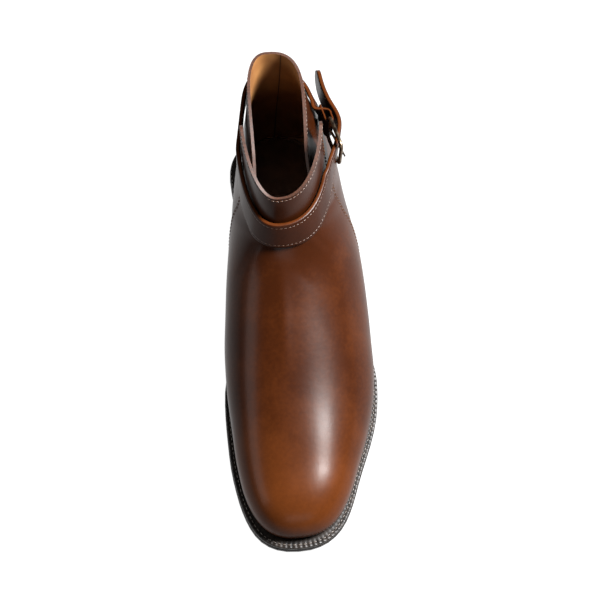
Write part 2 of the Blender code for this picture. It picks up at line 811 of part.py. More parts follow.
def tight_outline(points):
    """The convex outline round the points in plan."""
    points = sorted({(round(float(x), 4), round(float(along), 4)) for x, along in points})

    def chain(ordered):
        kept = []
        for point in ordered:
            while len(kept) > 1:
                (ax, ay), (bx, by) = kept[-2], kept[-1]
                if (bx - ax) * (point[1] - ay) - (by - ay) * (point[0] - ax) > 0:
                    break
                kept.pop()
            kept.append(point)
        return kept[:-1]

    return np.array(chain(points) + chain(points[::-1]))


def plan_sideways(line, closed):
    """The unit direction to the left of a line in plan, at each of its points."""
    if closed:
        ahead = np.roll(line, -1, axis=0) - np.roll(line, 1, axis=0)
    else:
        ahead = np.gradient(line, axis=0)
    ahead = ahead / np.hypot(ahead[:, 0], ahead[:, 1])[:, None]
    return np.stack([-ahead[:, 1], ahead[:, 0]], axis=1)


def belt_line(sheets, height_rule, clear):
    """A fine loop drawn tight round the sheets at a slanting level, standing off by the given gap."""
    hull = tight_outline([point for sheet in sheets for point in shaft_contour(sheet, height_rule)])
    loop = np.concatenate([hull, hull[:1]])
    length = np.concatenate([[0], np.cumsum(np.hypot(*np.diff(loop, axis=0).T))])
    places = np.linspace(0, length[-1], BELT_POINTS + 1)[:-1]
    line = np.stack([np.interp(places, length, loop[:, i]) for i in range(2)], axis=1)
    for _ in range(BELT_EASING):
        line = 0.5 * line + 0.25 * (np.roll(line, 1, axis=0) + np.roll(line, -1, axis=0))
    return line - plan_sideways(line, True) * clear


def bearing(line):
    """Direction from the middle of the shaft, from the outer side round the back and on."""
    centre = np.array(SHAFT_CENTRE)
    turn = np.arctan2(centre[1] - line[:, 1], line[:, 0] - centre[0])
    return np.mod(turn - BELT_FIRST, 2 * np.pi)


def at_bearings(line, bearings):
    turn = bearing(line)
    order = np.argsort(turn)
    return np.stack([
        np.interp(bearings, turn[order], line[order, i], period=2 * np.pi) for i in range(2)
    ], axis=1)


def strap_top(along):
    return STRAP_BACK_TOP - STRAP_DROP * along


def strap_bottom(along):
    return strap_top(along) - STRAP_WIDE


def frame_axes():
    """Directions in plan: towards the front bar, and away from the boot."""
    forward = np.array([np.sin(FRAME_SLANT), np.cos(FRAME_SLANT)])
    outward = np.array([np.cos(FRAME_SLANT), -np.sin(FRAME_SLANT)])
    return forward, outward


def strap_rows(sheets):
    """The strap's course: per row the plan places of its upper and lower edge, and its thickness."""
    clear = STRAP_CLEAR + STRAP_THICK / 2
    top_line = belt_line(sheets, strap_top, clear)
    bottom_line = belt_line(sheets, strap_bottom, clear)
    turn = bearing(top_line)
    evenly = top_line[np.argsort(turn)][::BELT_POINTS // BELT_ROWS]
    bearings = bearing(evenly)
    bearings = bearings[bearings < BELT_SWEEP]
    top = at_bearings(top_line, bearings)
    bottom = at_bearings(bottom_line, bearings)
    bar = np.array(BACK_BAR)
    away = BAR_RADIUS + GAP + FOLD_THICK / 2
    forward, outward = frame_axes()
    fold = [bar - outward * away - forward * back for back in FOLD_BEHIND]
    for turn in np.linspace(-np.pi / 2, np.pi / 2, 9):
        fold.append(bar + forward * away * np.cos(turn) + outward * away * np.sin(turn))
    fold += [bar + outward * away - forward * back for back in FOLD_OUTSIDE]
    free = np.array(FREE_END)[:, :2]
    lean = np.outer([row[2] for row in FREE_END], [1.0, 0.0])
    plan_top = np.concatenate([fold, top, free - lean])
    plan_bottom = np.concatenate([fold, bottom, free + lean])
    thick = np.array([FOLD_THICK] * len(fold) + [STRAP_THICK] * (len(top) + len(free)))
    return plan_top, plan_bottom, thick


def build_strap(sheets, look, collection):
    plan_top, plan_bottom, thick = strap_rows(sheets)
    side = plan_sideways((plan_top + plan_bottom) / 2, False)
    count = len(plan_top)
    half = np.full(count, 1.0)
    tip = np.hypot(*(plan_top - plan_top[-1]).T)
    near = tip < STRAP_WIDE / 2
    part_in = (tip[near] + TIP_BLUNT) / (STRAP_WIDE / 2 + TIP_BLUNT)
    half[near] = np.sqrt(1 - (1 - part_in) ** 2)
    loops = []
    across_flat = 0.5 - STRAP_CORNER
    up_flat = 1 - 2 * STRAP_CORNER / 3
    profile = (
        (-0.5, -up_flat), (-0.5, up_flat), (-across_flat, 1.0), (across_flat, 1.0),
        (0.5, up_flat), (0.5, -up_flat), (across_flat, -1.0), (-across_flat, -1.0),
    )
    for i in range(count):
        along = (plan_top[i, 1] + plan_bottom[i, 1]) / 2
        high = strap_top(along)
        low = strap_bottom(along)
        centre = (high + low) / 2
        loop = []
        for across, up in profile:
            part = 0.5 + 0.5 * up * half[i]
            plan = plan_bottom[i] + (plan_top[i] - plan_bottom[i]) * part + side[i] * thick[i] * across
            loop.append((plan[0], plan[1], centre + (high - low) / 2 * up * half[i]))
        loops.append(loop)
    size = len(profile)
    faces = ring_faces(count, size, False)
    faces.append(tuple(range(size)))
    faces.append(tuple(range((count - 1) * size, count * size)))
    made = add_mesh("strap", np.array(loops).reshape(-1, 3), faces, look, collection)
    weld(made, 1e-7)
    return made


# The buckle: a wire frame on the strap's fold, and its prong through the strap

def strap_middle(along):
    return (strap_top(along) + strap_bottom(along)) / 2


def build_buckle_frame(look, collection):
    forward, _ = frame_axes()
    bar = np.array(BACK_BAR)
    height = strap_middle(BACK_BAR[1])
    points = []
    corners = (
        (FRAME_LONG - FRAME_CORNER, FRAME_HIGH / 2 - FRAME_CORNER, 0.0),
        (FRAME_CORNER, FRAME_HIGH / 2 - FRAME_CORNER, np.pi / 2),
        (FRAME_CORNER, FRAME_CORNER - FRAME_HIGH / 2, np.pi),
        (FRAME_LONG - FRAME_CORNER, FRAME_CORNER - FRAME_HIGH / 2, 3 * np.pi / 2),
    )
    for reach, up, first in corners:
        for turn in np.linspace(first, first + np.pi / 2, 6):
            plan = bar + forward * (reach + FRAME_CORNER * np.cos(turn))
            points.append((plan[0], plan[1], height + up + FRAME_CORNER * np.sin(turn)))
    curve = bpy.data.curves.new("buckle_frame", "CURVE")
    curve.dimensions = "3D"
    line = curve.splines.new("POLY")
    line.points.add(len(points) - 1)
    for point, place in zip(line.points, to_world(points)):
        point.co = (*place, 1.0)
    line.use_cyclic_u = True
    curve.bevel_depth = BAR_RADIUS * MM
    curve.bevel_resolution = 2
    curve.materials.append(own_material("buckle_frame", look))
    made = bpy.data.objects.new("buckle_frame", curve)
    collection.objects.link(made)
    return made


def prong_ends():
    forward, outward = frame_axes()
    bar = np.array(BACK_BAR)
    start = bar + forward * (BAR_RADIUS + 2 * GAP + FOLD_THICK)
    over = bar + forward * FRAME_LONG + outward * (BAR_RADIUS + GAP + PRONG_RADIUS)
    reach = (over - start) / np.hypot(*(over - start))
    end = over + reach * PRONG_PAST
    height = strap_middle(BACK_BAR[1])
    return np.array([*start, height]), np.array([*end, height])


def rod(name, start, end, radius, look, collection):
    low, high = (Vector(place) for place in to_world(np.array([start, end])))
    bpy.ops.mesh.primitive_cylinder_add(
        vertices=14, radius=radius * MM, depth=(high - low).length, location=(low + high) / 2)
    made = bpy.context.object
    made.rotation_mode = "QUATERNION"
    made.rotation_quaternion = (high - low).to_track_quat("Z", "Y")
    made.name = name
    made.data.name = name
    made.data.materials.append(own_material(name, look))
    for holder in list(made.users_collection):
        holder.objects.unlink(made)
    collection.objects.link(made)
    return made


def build_prong(strap, look, collection, cutters):
    start, end = prong_ends()
    made = rod("buckle_prong", start, end, PRONG_RADIUS, look, collection)
    hole = rod("prong_hole", start, end, PRONG_RADIUS + HOLE_CLEAR, look, cutters)
    hole.hide_render = True
    hole.display_type = "WIRE"
    cut = strap.modifiers.new("prong hole", "BOOLEAN")
    cut.operation = "DIFFERENCE"
    cut.solver = "EXACT"
    cut.object = hole
    return made


clear_scene()
collection = bpy.data.collections.new("jodhpur_boot")
bpy.context.scene.collection.children.link(collection)
cutters = bpy.data.collections.new("cutters")
cutters.hide_render = True
bpy.context.scene.collection.children.link(cutters)

build_outsole(BLACK_EDGE, collection)
build_welt(BLACK_EDGE, collection)
build_insole(TAN_LEATHER, collection)
build_heel(BLACK_EDGE, BLACK_RUBBER, collection)
vamp_grid = vamp_sheet(VAMP_COLUMNS)
quarter_grid = quarter_sheet(QUARTER_COLUMNS)
build_upper(vamp_grid, quarter_grid, BROWN_CALF, collection, cutters)
strap = build_strap((vamp_grid, quarter_grid), BROWN_CALF, collection)
build_buckle_frame(DARK_BRASS, collection)
build_prong(strap, DARK_BRASS, collection, cutters)
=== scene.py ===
"""A left jodhpur boot in burnished brown calf, dressed for its render. The sections follow the way
the boot is put together: insole, upper, welt, sole, heel, strap and buckle, then the studio."""

import bmesh
import bpy
import numpy as np
from mathutils import Matrix, Vector


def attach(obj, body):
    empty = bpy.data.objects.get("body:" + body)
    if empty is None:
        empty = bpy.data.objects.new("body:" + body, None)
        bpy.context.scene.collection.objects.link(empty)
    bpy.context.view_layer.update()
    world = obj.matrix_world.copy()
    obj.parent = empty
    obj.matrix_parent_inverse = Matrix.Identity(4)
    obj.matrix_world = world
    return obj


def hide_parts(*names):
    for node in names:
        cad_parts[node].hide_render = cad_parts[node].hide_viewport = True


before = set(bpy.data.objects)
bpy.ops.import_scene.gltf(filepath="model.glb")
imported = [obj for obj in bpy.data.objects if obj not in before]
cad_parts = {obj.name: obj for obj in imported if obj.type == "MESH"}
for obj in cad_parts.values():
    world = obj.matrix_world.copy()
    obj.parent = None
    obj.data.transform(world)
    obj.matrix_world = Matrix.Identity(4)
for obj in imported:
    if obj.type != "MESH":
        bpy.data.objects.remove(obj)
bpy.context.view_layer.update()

# Insole
# A sheet of brown vegetable-tanned leather, 4.5 mm thick, lying inside the upper. It is smooth and
# matt, and a sock of the same leather, made with the upper, covers it.

MM = 0.001


def linear(colour):
    """The linear colour of an sRGB hex value."""
    parts = [int(colour[i:i + 2], 16) / 255 for i in (1, 3, 5)]
    return (*[p / 12.92 if p <= 0.04045 else ((p + 0.055) / 1.055) ** 2.4 for p in parts], 1.0)


def add_node(material, kind, settings=(), links=()):
    """Adds a node: settings are its attributes or socket values, and links its sockets' sources.
    A socket goes by its name, or by its number where a name is shared."""
    made = material.node_tree.nodes.new(kind)
    for name, value in dict(settings).items():
        if isinstance(name, str) and hasattr(made, name) and name not in made.inputs:
            setattr(made, name, value)
        else:
            made.inputs[name].default_value = value
    for name, source in dict(links).items():
        material.node_tree.links.new(source, made.inputs[name])
    return made


def new_material(name, settings):
    """A material and its Principled shader, with the settings on the shader's own sockets."""
    made = bpy.data.materials.new(name)
    made.use_nodes = True
    shader = made.node_tree.nodes["Principled BSDF"]
    for socket, value in settings.items():
        shader.inputs[socket].default_value = value
    return made, shader


def ramp(material, source, stops):
    """A colour ramp over the source, with stops of place and sRGB hex colour."""
    made = add_node(material, "ShaderNodeValToRGB", links={"Fac": source})
    colours = made.color_ramp.elements
    while len(colours) < len(stops):
        colours.new(0.5)
    for stop, (place, colour) in zip(colours, stops):
        stop.position = place
        stop.color = linear(colour)
    return made.outputs["Color"]


def pored_leather(name, roughness, cloud_scale, stops):
    """Unglazed leather, clouded and with 0.6 mm pores, with its shader, place and colour."""
    made, shader = new_material(name, {"Roughness": roughness, "Specular IOR Level": 0.35})
    place = add_node(made, "ShaderNodeTexCoord").outputs["Object"]
    cloud = add_node(made, "ShaderNodeTexNoise", {"Scale": cloud_scale, "Detail": 4.0},
                     {"Vector": place})
    tint = ramp(made, cloud.outputs["Fac"], stops)
    made.node_tree.links.new(tint, shader.inputs["Base Color"])
    pores = add_node(made, "ShaderNodeTexVoronoi", {"Scale": 1600.0}, {"Vector": place})
    relief = add_node(made, "ShaderNodeBump", {"Strength": 0.25, "Distance": 0.00015},
                      {"Height": pores.outputs["Distance"]})
    made.node_tree.links.new(relief.outputs["Normal"], shader.inputs["Normal"])
    return made, shader, place, tint


# Vegetable-tanned sock leather: dull, dark brown, clouded at about 15 mm
sock_leather = pored_leather("veg_tan_sock", 0.62, 65.0, ((0.3, "#2f1d0f"), (0.7, "#452c19")))[0]
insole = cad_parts["insole"]
insole.data.materials.clear()
insole.data.materials.append(sock_leather)

# Upper
# Burnished calf, 1.9 mm thick. The quarters stand inside and end in a narrow horseshoe collar; the
# vamp lies over them, sewn down its back edges, and its top stands free in front of the ankle.
# Both are drawn over one last, whose sections these tables give in millimetres.

SOLE_LENGTH = 308.0
HEEL_CENTRE = 34.0
OUTSOLE_THICK = 5.0
WELT_THICK = 3.0
GAP = 0.3
INSOLE_THICK = 4.5
FACET_CLEAR = 0.2
WALL = 1.9
RIM_ROUND = 0.35
LAP = 1.0
PINCH = 1.6
PINCH_HEIGHT = 9.0
WELT_UNDER_WALL = 1.0
EASING_FOOT = 4.0
EASING_FADE = 15.0
EASED_ROWS = (24, 100)
EASING_PASSES = 60
NORMAL_EASING = 40
INSIDE_FOOT = (0.0, 100.0, 60.0)

# How finely curved pieces are cut up
SIDE_SAMPLES = 240
BAND_SAMPLES = 200


def columns(names, *rows):
    """The table's rows as one array per named column."""
    return dict(zip(names.split(), np.array(rows).T))


# The welt's edge in plan: its middle line and half width, before the ends are rounded
OUTLINE = columns(
    "along middle half",
    (0.0, 0.0, 35.0),
    (40.0, 0.3, 35.2),
    (60.0, 1.3, 34.3),
    (85.0, 3.6, 32.6),
    (110.0, 6.2, 33.2),
    (135.0, 7.4, 37.8),
    (160.0, 6.4, 45.0),
    (172.0, 5.2, 49.6),
    (185.0, 4.4, 52.6),
    (201.0, 3.4, 53.1),
    (216.0, 2.2, 52.0),
    (233.0, -0.1, 49.2),
    (250.0, -3.0, 45.2),
    (268.0, -5.1, 40.3),
    (285.0, -6.3, 37.5),
    (308.0, -8.1, 37.5),
)
HEEL_ROUND = 35.0
TOE_ROUND = 44.0
TOE_POWER = 2.3

# How far the upper's foot stands inside the welt's edge
INSET = columns(
    "along inset",
    (0.0, 2.5),
    (60.0, 2.6),
    (110.0, 3.0),
    (150.0, 4.2),
    (190.0, 5.8),
    (225.0, 5.6),
    (308.0, 5.6),
)

# The underside of the outsole: heel seat, arch, flat tread under the ball, toe spring
UNDERSIDE = columns(
    "along height",
    (0.0, 24.5),
    (75.0, 22.3),
    (100.0, 18.6),
    (125.0, 12.0),
    (150.0, 5.4),
    (170.0, 1.3),
    (186.0, 0.0),
    (214.0, 0.0),
    (240.0, 0.8),
    (265.0, 2.6),
    (285.0, 4.8),
    (308.0, 8.0),
)

# The last. A row is one section: wide_out and wide_in are its greatest widths on the outer and the
# inner side of its middle line, which leans from the middle of the foot to the ridge. It lies
# in a plane seen edge-on from the side, starts where the upper meets the welt, or on the back of
# the shaft, and ends on the ridge over the foot. The first column runs along the upper's foot from
# the toe tip to the heel and then up the back of the shaft.
LAST = columns(
    "station top_along top_height ridge_x wide_out wide_in widest "
    "low_power top_power flare_out flare_in",
    (0.0, 302.4, 45.4, -9.0, 33.3, 32.9, 0.16, 2.0, 2.34, 0.0, 0.0),
    (20.0, 282.4, 45.0, -8.6, 34.4, 33.6, 0.18, 2.0, 2.34, 0.0, 0.0),
    (38.0, 264.4, 46.4, -8.2, 38.7, 37.1, 0.20, 2.0, 2.32, 0.0, 0.0),
    (56.0, 246.0, 50.2, -8.0, 43.6, 41.3, 0.20, 2.0, 2.24, 0.0, 0.0),
    (76.0, 225.5, 55.2, -8.0, 47.8, 45.0, 0.20, 2.0, 2.14, 0.0, 0.0),
    (96.0, 204.5, 62.0, -8.0, 50.9, 47.8, 0.21, 2.0, 2.06, 0.0, 0.0),
    (116.0, 183.0, 71.0, -8.0, 52.2, 49.0, 0.22, 2.0, 2.0, 0.0, 0.0),
    (136.0, 164.0, 80.0, -8.0, 51.1, 48.9, 0.24, 2.0, 1.97, 0.0, 0.0),
    (156.0, 149.0, 88.5, -8.0, 49.6, 47.8, 0.26, 2.0, 1.95, 0.0, 0.0),
    (176.0, 139.5, 95.5, -8.0, 48.8, 45.9, 0.28, 2.0, 1.96, 0.0, 0.0),
    (196.0, 134.0, 101.0, -8.0, 48.4, 43.0, 0.30, 2.0, 2.00, 0.0, 0.0),
    (216.0, 131.0, 104.5, -8.0, 48.1, 39.7, 0.32, 2.0, 2.05, 0.0, 0.0),
    (241.0, 129.0, 108.0, -8.0, 47.4, 36.3, 0.33, 2.0, 2.10, 0.0, 0.0),
    (261.0, 127.8, 110.5, -8.4, 45.6, 34.2, 0.34, 2.1, 2.15, 0.0, 0.0),
    (285.0, 126.5, 113.5, -8.8, 44.6, 30.8, 0.35, 2.2, 2.20, 0.0, 0.0),
    (298.5, 125.8, 115.5, -9.2, 43.6, 29.4, 0.35, 2.3, 2.22, 0.0, 0.0),
    (310.0, 125.2, 117.6, -9.5, 42.4, 28.2, 0.35, 2.35, 2.24, 0.0, 0.0),
    (325.0, 124.3, 120.8, -9.8, 40.0, 26.4, 0.35, 2.4, 2.26, 0.0, 0.0),
    (342.0, 123.3, 124.8, -10.0, 36.8, 24.2, 0.34, 2.5, 2.28, 0.4, 0.4),
    (360.0, 122.4, 129.2, -10.0, 32.8, 21.8, 0.34, 2.55, 2.30, 2.0, 1.4),
    (377.0, 121.5, 134.2, -10.0, 28.8, 19.8, 0.34, 2.6, 2.30, 4.4, 2.8),
    (393.0, 120.3, 140.0, -10.0, 25.2, 18.0, 0.33, 2.6, 2.30, 7.0, 4.2),
    (408.0, 118.5, 147.0, -10.0, 23.0, 16.8, 0.33, 2.6, 2.30, 9.0, 5.4),
    (423.5, 116.3, 157.0, -10.0, 22.0, 16.3, 0.33, 2.6, 2.30, 10.2, 6.4),
)
HEEL_STATION = 298.5
LAST_TOP = 423.5

# The back of the shaft, seen from the side
BACK = columns(
    "rise along middle",
    (0.0, 2.5, 0.0),
    (12.0, 2.0, 0.0),
    (27.0, 2.2, -0.5),
    (44.0, 4.2, -1.6),
    (62.0, 8.0, -3.4),
    (79.0, 11.0, -5.2),
    (95.0, 12.3, -6.8),
    (110.0, 12.0, -7.9),
    (125.0, 11.0, -8.6),
)

# Edges seen from the side: the vamp's back edge, the vamp's top edge and the quarters' collar
VAMP_BACK = columns(
    "height along",
    (22.0, 120.5),
    (34.0, 113.5),
    (46.0, 107.0),
    (68.0, 95.0),
    (92.0, 83.5),
    (115.0, 73.4),
    (130.0, 67.4),
    (142.0, 64.6),
    (148.0, 65.2),
    (151.0, 68.2),
    (152.6, 73.0),
    (165.0, 95.0),
)
VAMP_TOP = columns(
    "along height",
    (50.0, 153.5),
    (66.0, 152.0),
    (90.0, 149.5),
    (122.0, 144.5),
)
COLLAR = columns(
    "along height",
    (0.0, 152.0),
    (40.0, 152.0),
    (60.0, 150.0),
    (80.0, 142.0),
    (96.0, 130.5),
    (110.0, 121.0),
    (130.0, 119.0),
)
QUARTER_FRONT_STATION = 166.0


def spline(x, xs, ys):
    """Natural cubic spline through the table's points, read at x."""
    count = len(xs)
    step = np.diff(xs)
    slope = np.diff(ys) / step
    matrix = np.eye(count)
    right = np.zeros(count)
    for i in range(1, count - 1):
        matrix[i, i - 1:i + 2] = step[i - 1], 2 * (step[i - 1] + step[i]), step[i]
        right[i] = 6 * (slope[i] - slope[i - 1])
    bend = np.linalg.solve(matrix, right)
    x = np.asarray(x, dtype=float)
    i = np.clip(np.searchsorted(xs, x) - 1, 0, count - 2)
    before = x - xs[i]
    after = xs[i + 1] - x
    return (
        (bend[i] * after ** 3 + bend[i + 1] * before ** 3) / (6 * step[i])
        + (ys[i] / step[i] - bend[i] * step[i] / 6) * after
        + (ys[i + 1] / step[i] - bend[i + 1] * step[i] / 6) * before
    )


def monotone(x, xs, ys):
    """Cubic curve through the table's points that never overshoots them, read at x."""
    step = np.diff(xs)
    slope = np.diff(ys) / step
    tangent = np.zeros(len(xs))
    tangent[0] = slope[0]
    tangent[-1] = slope[-1]
    for i in range(1, len(xs) - 1):
        if slope[i - 1] * slope[i] > 0:
            tangent[i] = 2 / (1 / slope[i - 1] + 1 / slope[i])
    x = np.asarray(x, dtype=float)
    i = np.clip(np.searchsorted(xs, x) - 1, 0, len(xs) - 2)
    t = (x - xs[i]) / step[i]
    return (
        ys[i] * (1 + 2 * t) * (1 - t) ** 2
        + tangent[i] * step[i] * t * (1 - t) ** 2
        + ys[i + 1] * t * t * (3 - 2 * t)
        + tangent[i + 1] * step[i] * t * t * (t - 1)
    )


def underside(along):
    return monotone(along, UNDERSIDE["along"], UNDERSIDE["height"])


def upper_inset(along):
    return monotone(along, INSET["along"], INSET["inset"])


def middle(along):
    return spline(along, OUTLINE["along"], OUTLINE["middle"])


def half_width(along, inset, heel_inset, toe_inset):
    """Half the width of the outline drawn inwards by inset, with its round ends."""
    wide = spline(along, OUTLINE["along"], OUTLINE["half"]) - inset
    from_heel = np.clip((along - heel_inset) / (HEEL_ROUND - heel_inset), 0, 1)
    from_toe = np.clip((SOLE_LENGTH - toe_inset - along) / (TOE_ROUND - toe_inset), 0, 1)
    round_heel = np.sqrt(1 - (1 - from_heel) ** 2)
    round_toe = (1 - (1 - from_toe) ** TOE_POWER) ** (1 / TOE_POWER)
    return wide * round_heel * round_toe


FOOT_HEEL = float(upper_inset(0.0))
FOOT_TOE = float(upper_inset(SOLE_LENGTH))
FOOT_TIP = SOLE_LENGTH - FOOT_TOE
FOOT_TOE_ROUND = TOE_ROUND - FOOT_TOE


def foot_half_width(along):
    return half_width(along, upper_inset(along), FOOT_HEEL, FOOT_TOE)


def foot_height(along):
    """Height of the upper's lower edge, just over the welt."""
    return underside(along) + OUTSOLE_THICK + WELT_THICK + 2 * GAP + FACET_CLEAR


def section_side(station, outward, flared, samples):
    """One side of one section, from its foot to the ridge: rows of x, along and height."""
    row = {name: float(spline(station, LAST["station"], values)) for name, values in LAST.items()}
    rise = max(station - HEEL_STATION, 0.0)
    tip_round = 1.0
    if station < FOOT_TOE_ROUND:
        tip_round = (1 - (1 - station / FOOT_TOE_ROUND) ** TOE_POWER) ** (1 / TOE_POWER)
        row["top_along"] = FOOT_TIP - station
    if rise > 0:
        foot_along = float(monotone(rise, BACK["rise"], BACK["along"]))
        foot_z = float(foot_height(FOOT_HEEL)) + rise
        foot_half = 0.0
        foot_x = float(spline(rise, BACK["rise"], BACK["middle"]))
    else:
        foot_along = FOOT_TIP - station
        foot_z = float(foot_height(foot_along))
        foot_half = float(foot_half_width(foot_along))
        foot_x = float(middle(foot_along))
    side = "out" if outward > 0 else "in"
    wide = row["wide_" + side] * tip_round
    if flared:
        wide += max(row["flare_" + side], 0.0)
    foot = min(foot_half, wide * 0.999)
    top_z = foot_z + (row["top_height"] - foot_z) * tip_round
    widest = row["widest"]
    low = row["low_power"]
    top = row["top_power"]
    ratio = (1 - (foot / max(wide, 1e-6)) ** low) ** (1 / low)
    depth = widest / ratio
    start = np.arcsin(min(ratio ** (low / 2), 1.0))
    turn = np.linspace(start, 0, samples)
    low_x = wide * np.cos(turn) ** (2 / low)
    low_part = widest - depth * np.sin(turn) ** (2 / low)
    turn = np.linspace(0, np.pi / 2, samples)[1:]
    top_x = wide * np.clip(np.cos(turn), 0, 1) ** (2 / top)
    top_part = widest + (1 - widest) * np.sin(turn) ** (2 / top)
    across = np.concatenate([low_x, top_x])
    part = np.concatenate([low_part, top_part])
    along = foot_along + (row["top_along"] - foot_along) * part
    height = foot_z + (top_z - foot_z) * part
    centre = foot_x + (row["ridge_x"] - foot_x) * part
    return np.stack([centre + outward * across, along, height], axis=1)


def resample(points, start, count):
    """count points evenly spaced along the line from its fraction start to its end."""
    length = np.concatenate([[0], np.cumsum(np.linalg.norm(np.diff(points, axis=0), axis=1))])
    places = np.linspace(start * length[-1], length[-1], count)
    return np.stack([np.interp(places, length, points[:, i]) for i in range(3)], axis=1)


def edge_fraction(points):
    """Where the vamp's back edge crosses this side of a section, as a fraction of its length."""
    length = np.concatenate([[0], np.cumsum(np.linalg.norm(np.diff(points, axis=0), axis=1))])
    edge = monotone(points[:, 2], VAMP_BACK["height"], VAMP_BACK["along"])
    behind = np.nonzero(points[:, 1] < edge)[0]
    if len(behind) == 0:
        return 0.0
    i = min(behind[-1], len(points) - 2)
    gap_here = edge[i] - points[i, 1]
    gap_next = points[i + 1, 1] - edge[i + 1]
    part = gap_here / max(gap_here + gap_next, 1e-9)
    return (length[i] + part * (length[i + 1] - length[i])) / length[-1]


def section_line(station, is_vamp, count):
    """A whole section from the inner side over the ridge to the outer side."""
    halves = []
    for outward in (-1, 1):
        side = section_side(station, outward, is_vamp, SIDE_SAMPLES)
        start = edge_fraction(side) if is_vamp else 0.0
        halves.append(resample(side, start, count))
    return np.concatenate([halves[0], halves[1][-2::-1]])


def trimmed_grid(stations, band_rows, last_station, top_edge, is_vamp, count):
    """Sections at the stations, then a band of rows that ends on the edge seen from the side."""
    body = [section_line(station, is_vamp, count) for station in stations]
    dense_stations = np.linspace(stations[-1], last_station, BAND_SAMPLES)
    dense = np.array([section_line(station, is_vamp, count) for station in dense_stations])
    over = dense[:, :, 2] - top_edge(dense[:, :, 1])
    band = np.zeros((band_rows, dense.shape[1], 3))
    for k in range(dense.shape[1]):
        above = np.nonzero(over[:, k] > 0)[0]
        i = above[0] if len(above) else len(dense_stations) - 1
        if i == 0:
            end = 0.0
        else:
            end = i - over[i, k] / (over[i, k] - over[i - 1, k]) if len(above) else float(i)
        places = np.linspace(0, end, band_rows + 1)[1:]
        for axis in range(3):
            band[:, k, axis] = np.interp(places, np.arange(len(dense)), dense[:, k, axis])
    return np.concatenate([np.array(body), band])


def pinched(grid, lift):
    """The grid drawn in over the welt, where the leather turns under, and lifted off it."""
    out = grid.copy()
    foot = foot_height(np.clip(grid[:, :, 1], FOOT_HEEL, FOOT_TIP))
    above = np.clip((grid[:, :, 2] - foot) / PINCH_HEIGHT, 0, 1)
    draw = PINCH * (1 - above) ** 2
    centre_along = np.clip(grid[:, :, 1], HEEL_ROUND, SOLE_LENGTH - TOE_ROUND)
    centre_x = middle(centre_along)
    away_x = grid[:, :, 0] - centre_x
    away_along = grid[:, :, 1] - centre_along
    reach = np.maximum(np.hypot(away_x, away_along), 1e-6)
    out[:, :, 0] -= draw * away_x / reach
    out[:, :, 1] -= draw * away_along / reach
    out[:, :, 2] += lift * (1 - above)
    return out


def to_world(points):
    """Millimetres across, along and up into metres in the world frame."""
    points = np.asarray(points, dtype=float)
    world = np.empty_like(points)
    world[..., 0] = points[..., 0] * MM
    world[..., 1] = (HEEL_CENTRE - points[..., 1]) * MM
    world[..., 2] = points[..., 2] * MM
    return world


def vamp_stations():
    turn = np.linspace(0, np.pi / 2, 26)
    toe = FOOT_TOE_ROUND * (1 - np.cos(turn))
    return np.concatenate([toe, np.linspace(FOOT_TOE_ROUND, 330.0, 110)[1:]])


def quarter_stations():
    waist = np.linspace(QUARTER_FRONT_STATION, 262.0, 40)
    turn = np.linspace(0, np.pi / 2, 22)
    heel = 262.0 + (HEEL_STATION - 262.0) * np.sin(turn)
    return np.concatenate([waist, heel[1:]])


def vamp_top(along):
    return spline(along, VAMP_TOP["along"], VAMP_TOP["height"])


def collar(along):
    return monotone(along, COLLAR["along"], COLLAR["height"])


def outward(grid):
    """Unit directions square to the sheet and away from the foot."""
    normal = np.cross(np.gradient(grid, axis=1), np.gradient(grid, axis=0))
    normal /= np.maximum(np.linalg.norm(normal, axis=2), 1e-9)[:, :, None]
    meeting = np.linalg.norm(grid[:, 0] - grid[:, -1], axis=1) < 1e-3
    shared = normal[meeting, 0] + normal[meeting, -1]
    shared /= np.maximum(np.linalg.norm(shared, axis=1), 1e-9)[:, None]
    normal[meeting, 0] = shared
    normal[meeting, -1] = shared
    for _ in range(NORMAL_EASING):
        normal[1:-1] = (normal[:-2] + 2 * normal[1:-1] + normal[2:]) / 4
    normal /= np.maximum(np.linalg.norm(normal, axis=2), 1e-9)[:, :, None]
    away = np.sign((normal * (grid - np.array(INSIDE_FOOT))).sum())
    return normal * away


def eased(grid, first, last, passes):
    """The sheet with its rows from first to last drawn smooth, except at their foot."""
    out = grid.copy()
    joined = np.linalg.norm(grid[:, 0] - grid[:, -1], axis=1) < 1e-3
    foot = foot_height(np.clip(grid[:, :, 1], FOOT_HEEL, FOOT_TIP))
    share = np.clip((grid[:, :, 2] - foot - EASING_FOOT) / EASING_FADE, 0, 1)
    rows = np.arange(len(grid))
    part = np.clip((rows - first) / (last - 1 - first), 0, 1)
    share = share * np.sqrt(np.clip(np.sin(np.pi * part), 0, 1))[:, None]
    for _ in range(passes):
        between = (out[:-2] + out[2:]) / 2
        out[1:-1] += (between - out[1:-1]) * share[1:-1, :, None] * 0.5
    both = (out[:, 0] + out[:, -1]) / 2
    out[joined, 0] = both[joined]
    out[joined, -1] = both[joined]
    return out


def fold_line(points, start, end, width):
    """How near each point is, from 0 to 1, to a soft line from start to end seen from above."""
    start = np.array(start)
    reach = np.array(end) - start
    away = points[..., :2] - start
    part = np.clip((away @ reach) / (reach @ reach), 0, 1)
    miss = np.linalg.norm(away - part[..., None] * reach, axis=-1)
    return np.exp(-(miss / width) ** 2) * np.sin(np.pi * np.clip(part, 0.02, 0.98)) ** 0.6


# Soft folds that lasting leaves in the vamp, each a line in plan: start, end, width, height
FOLDS = (
    ((-8.0, 134.0), (-10.0, 205.0), 4.5, 0.7),
    ((8.0, 122.0), (26.0, 128.0), 2.6, -0.35),
    ((-22.0, 124.0), (-38.0, 140.0), 3.0, -0.35),
    ((20.0, 135.0), (38.0, 118.0), 4.0, 0.35),
    ((-2.0, 140.0), (14.0, 152.0), 3.5, -0.25),
)

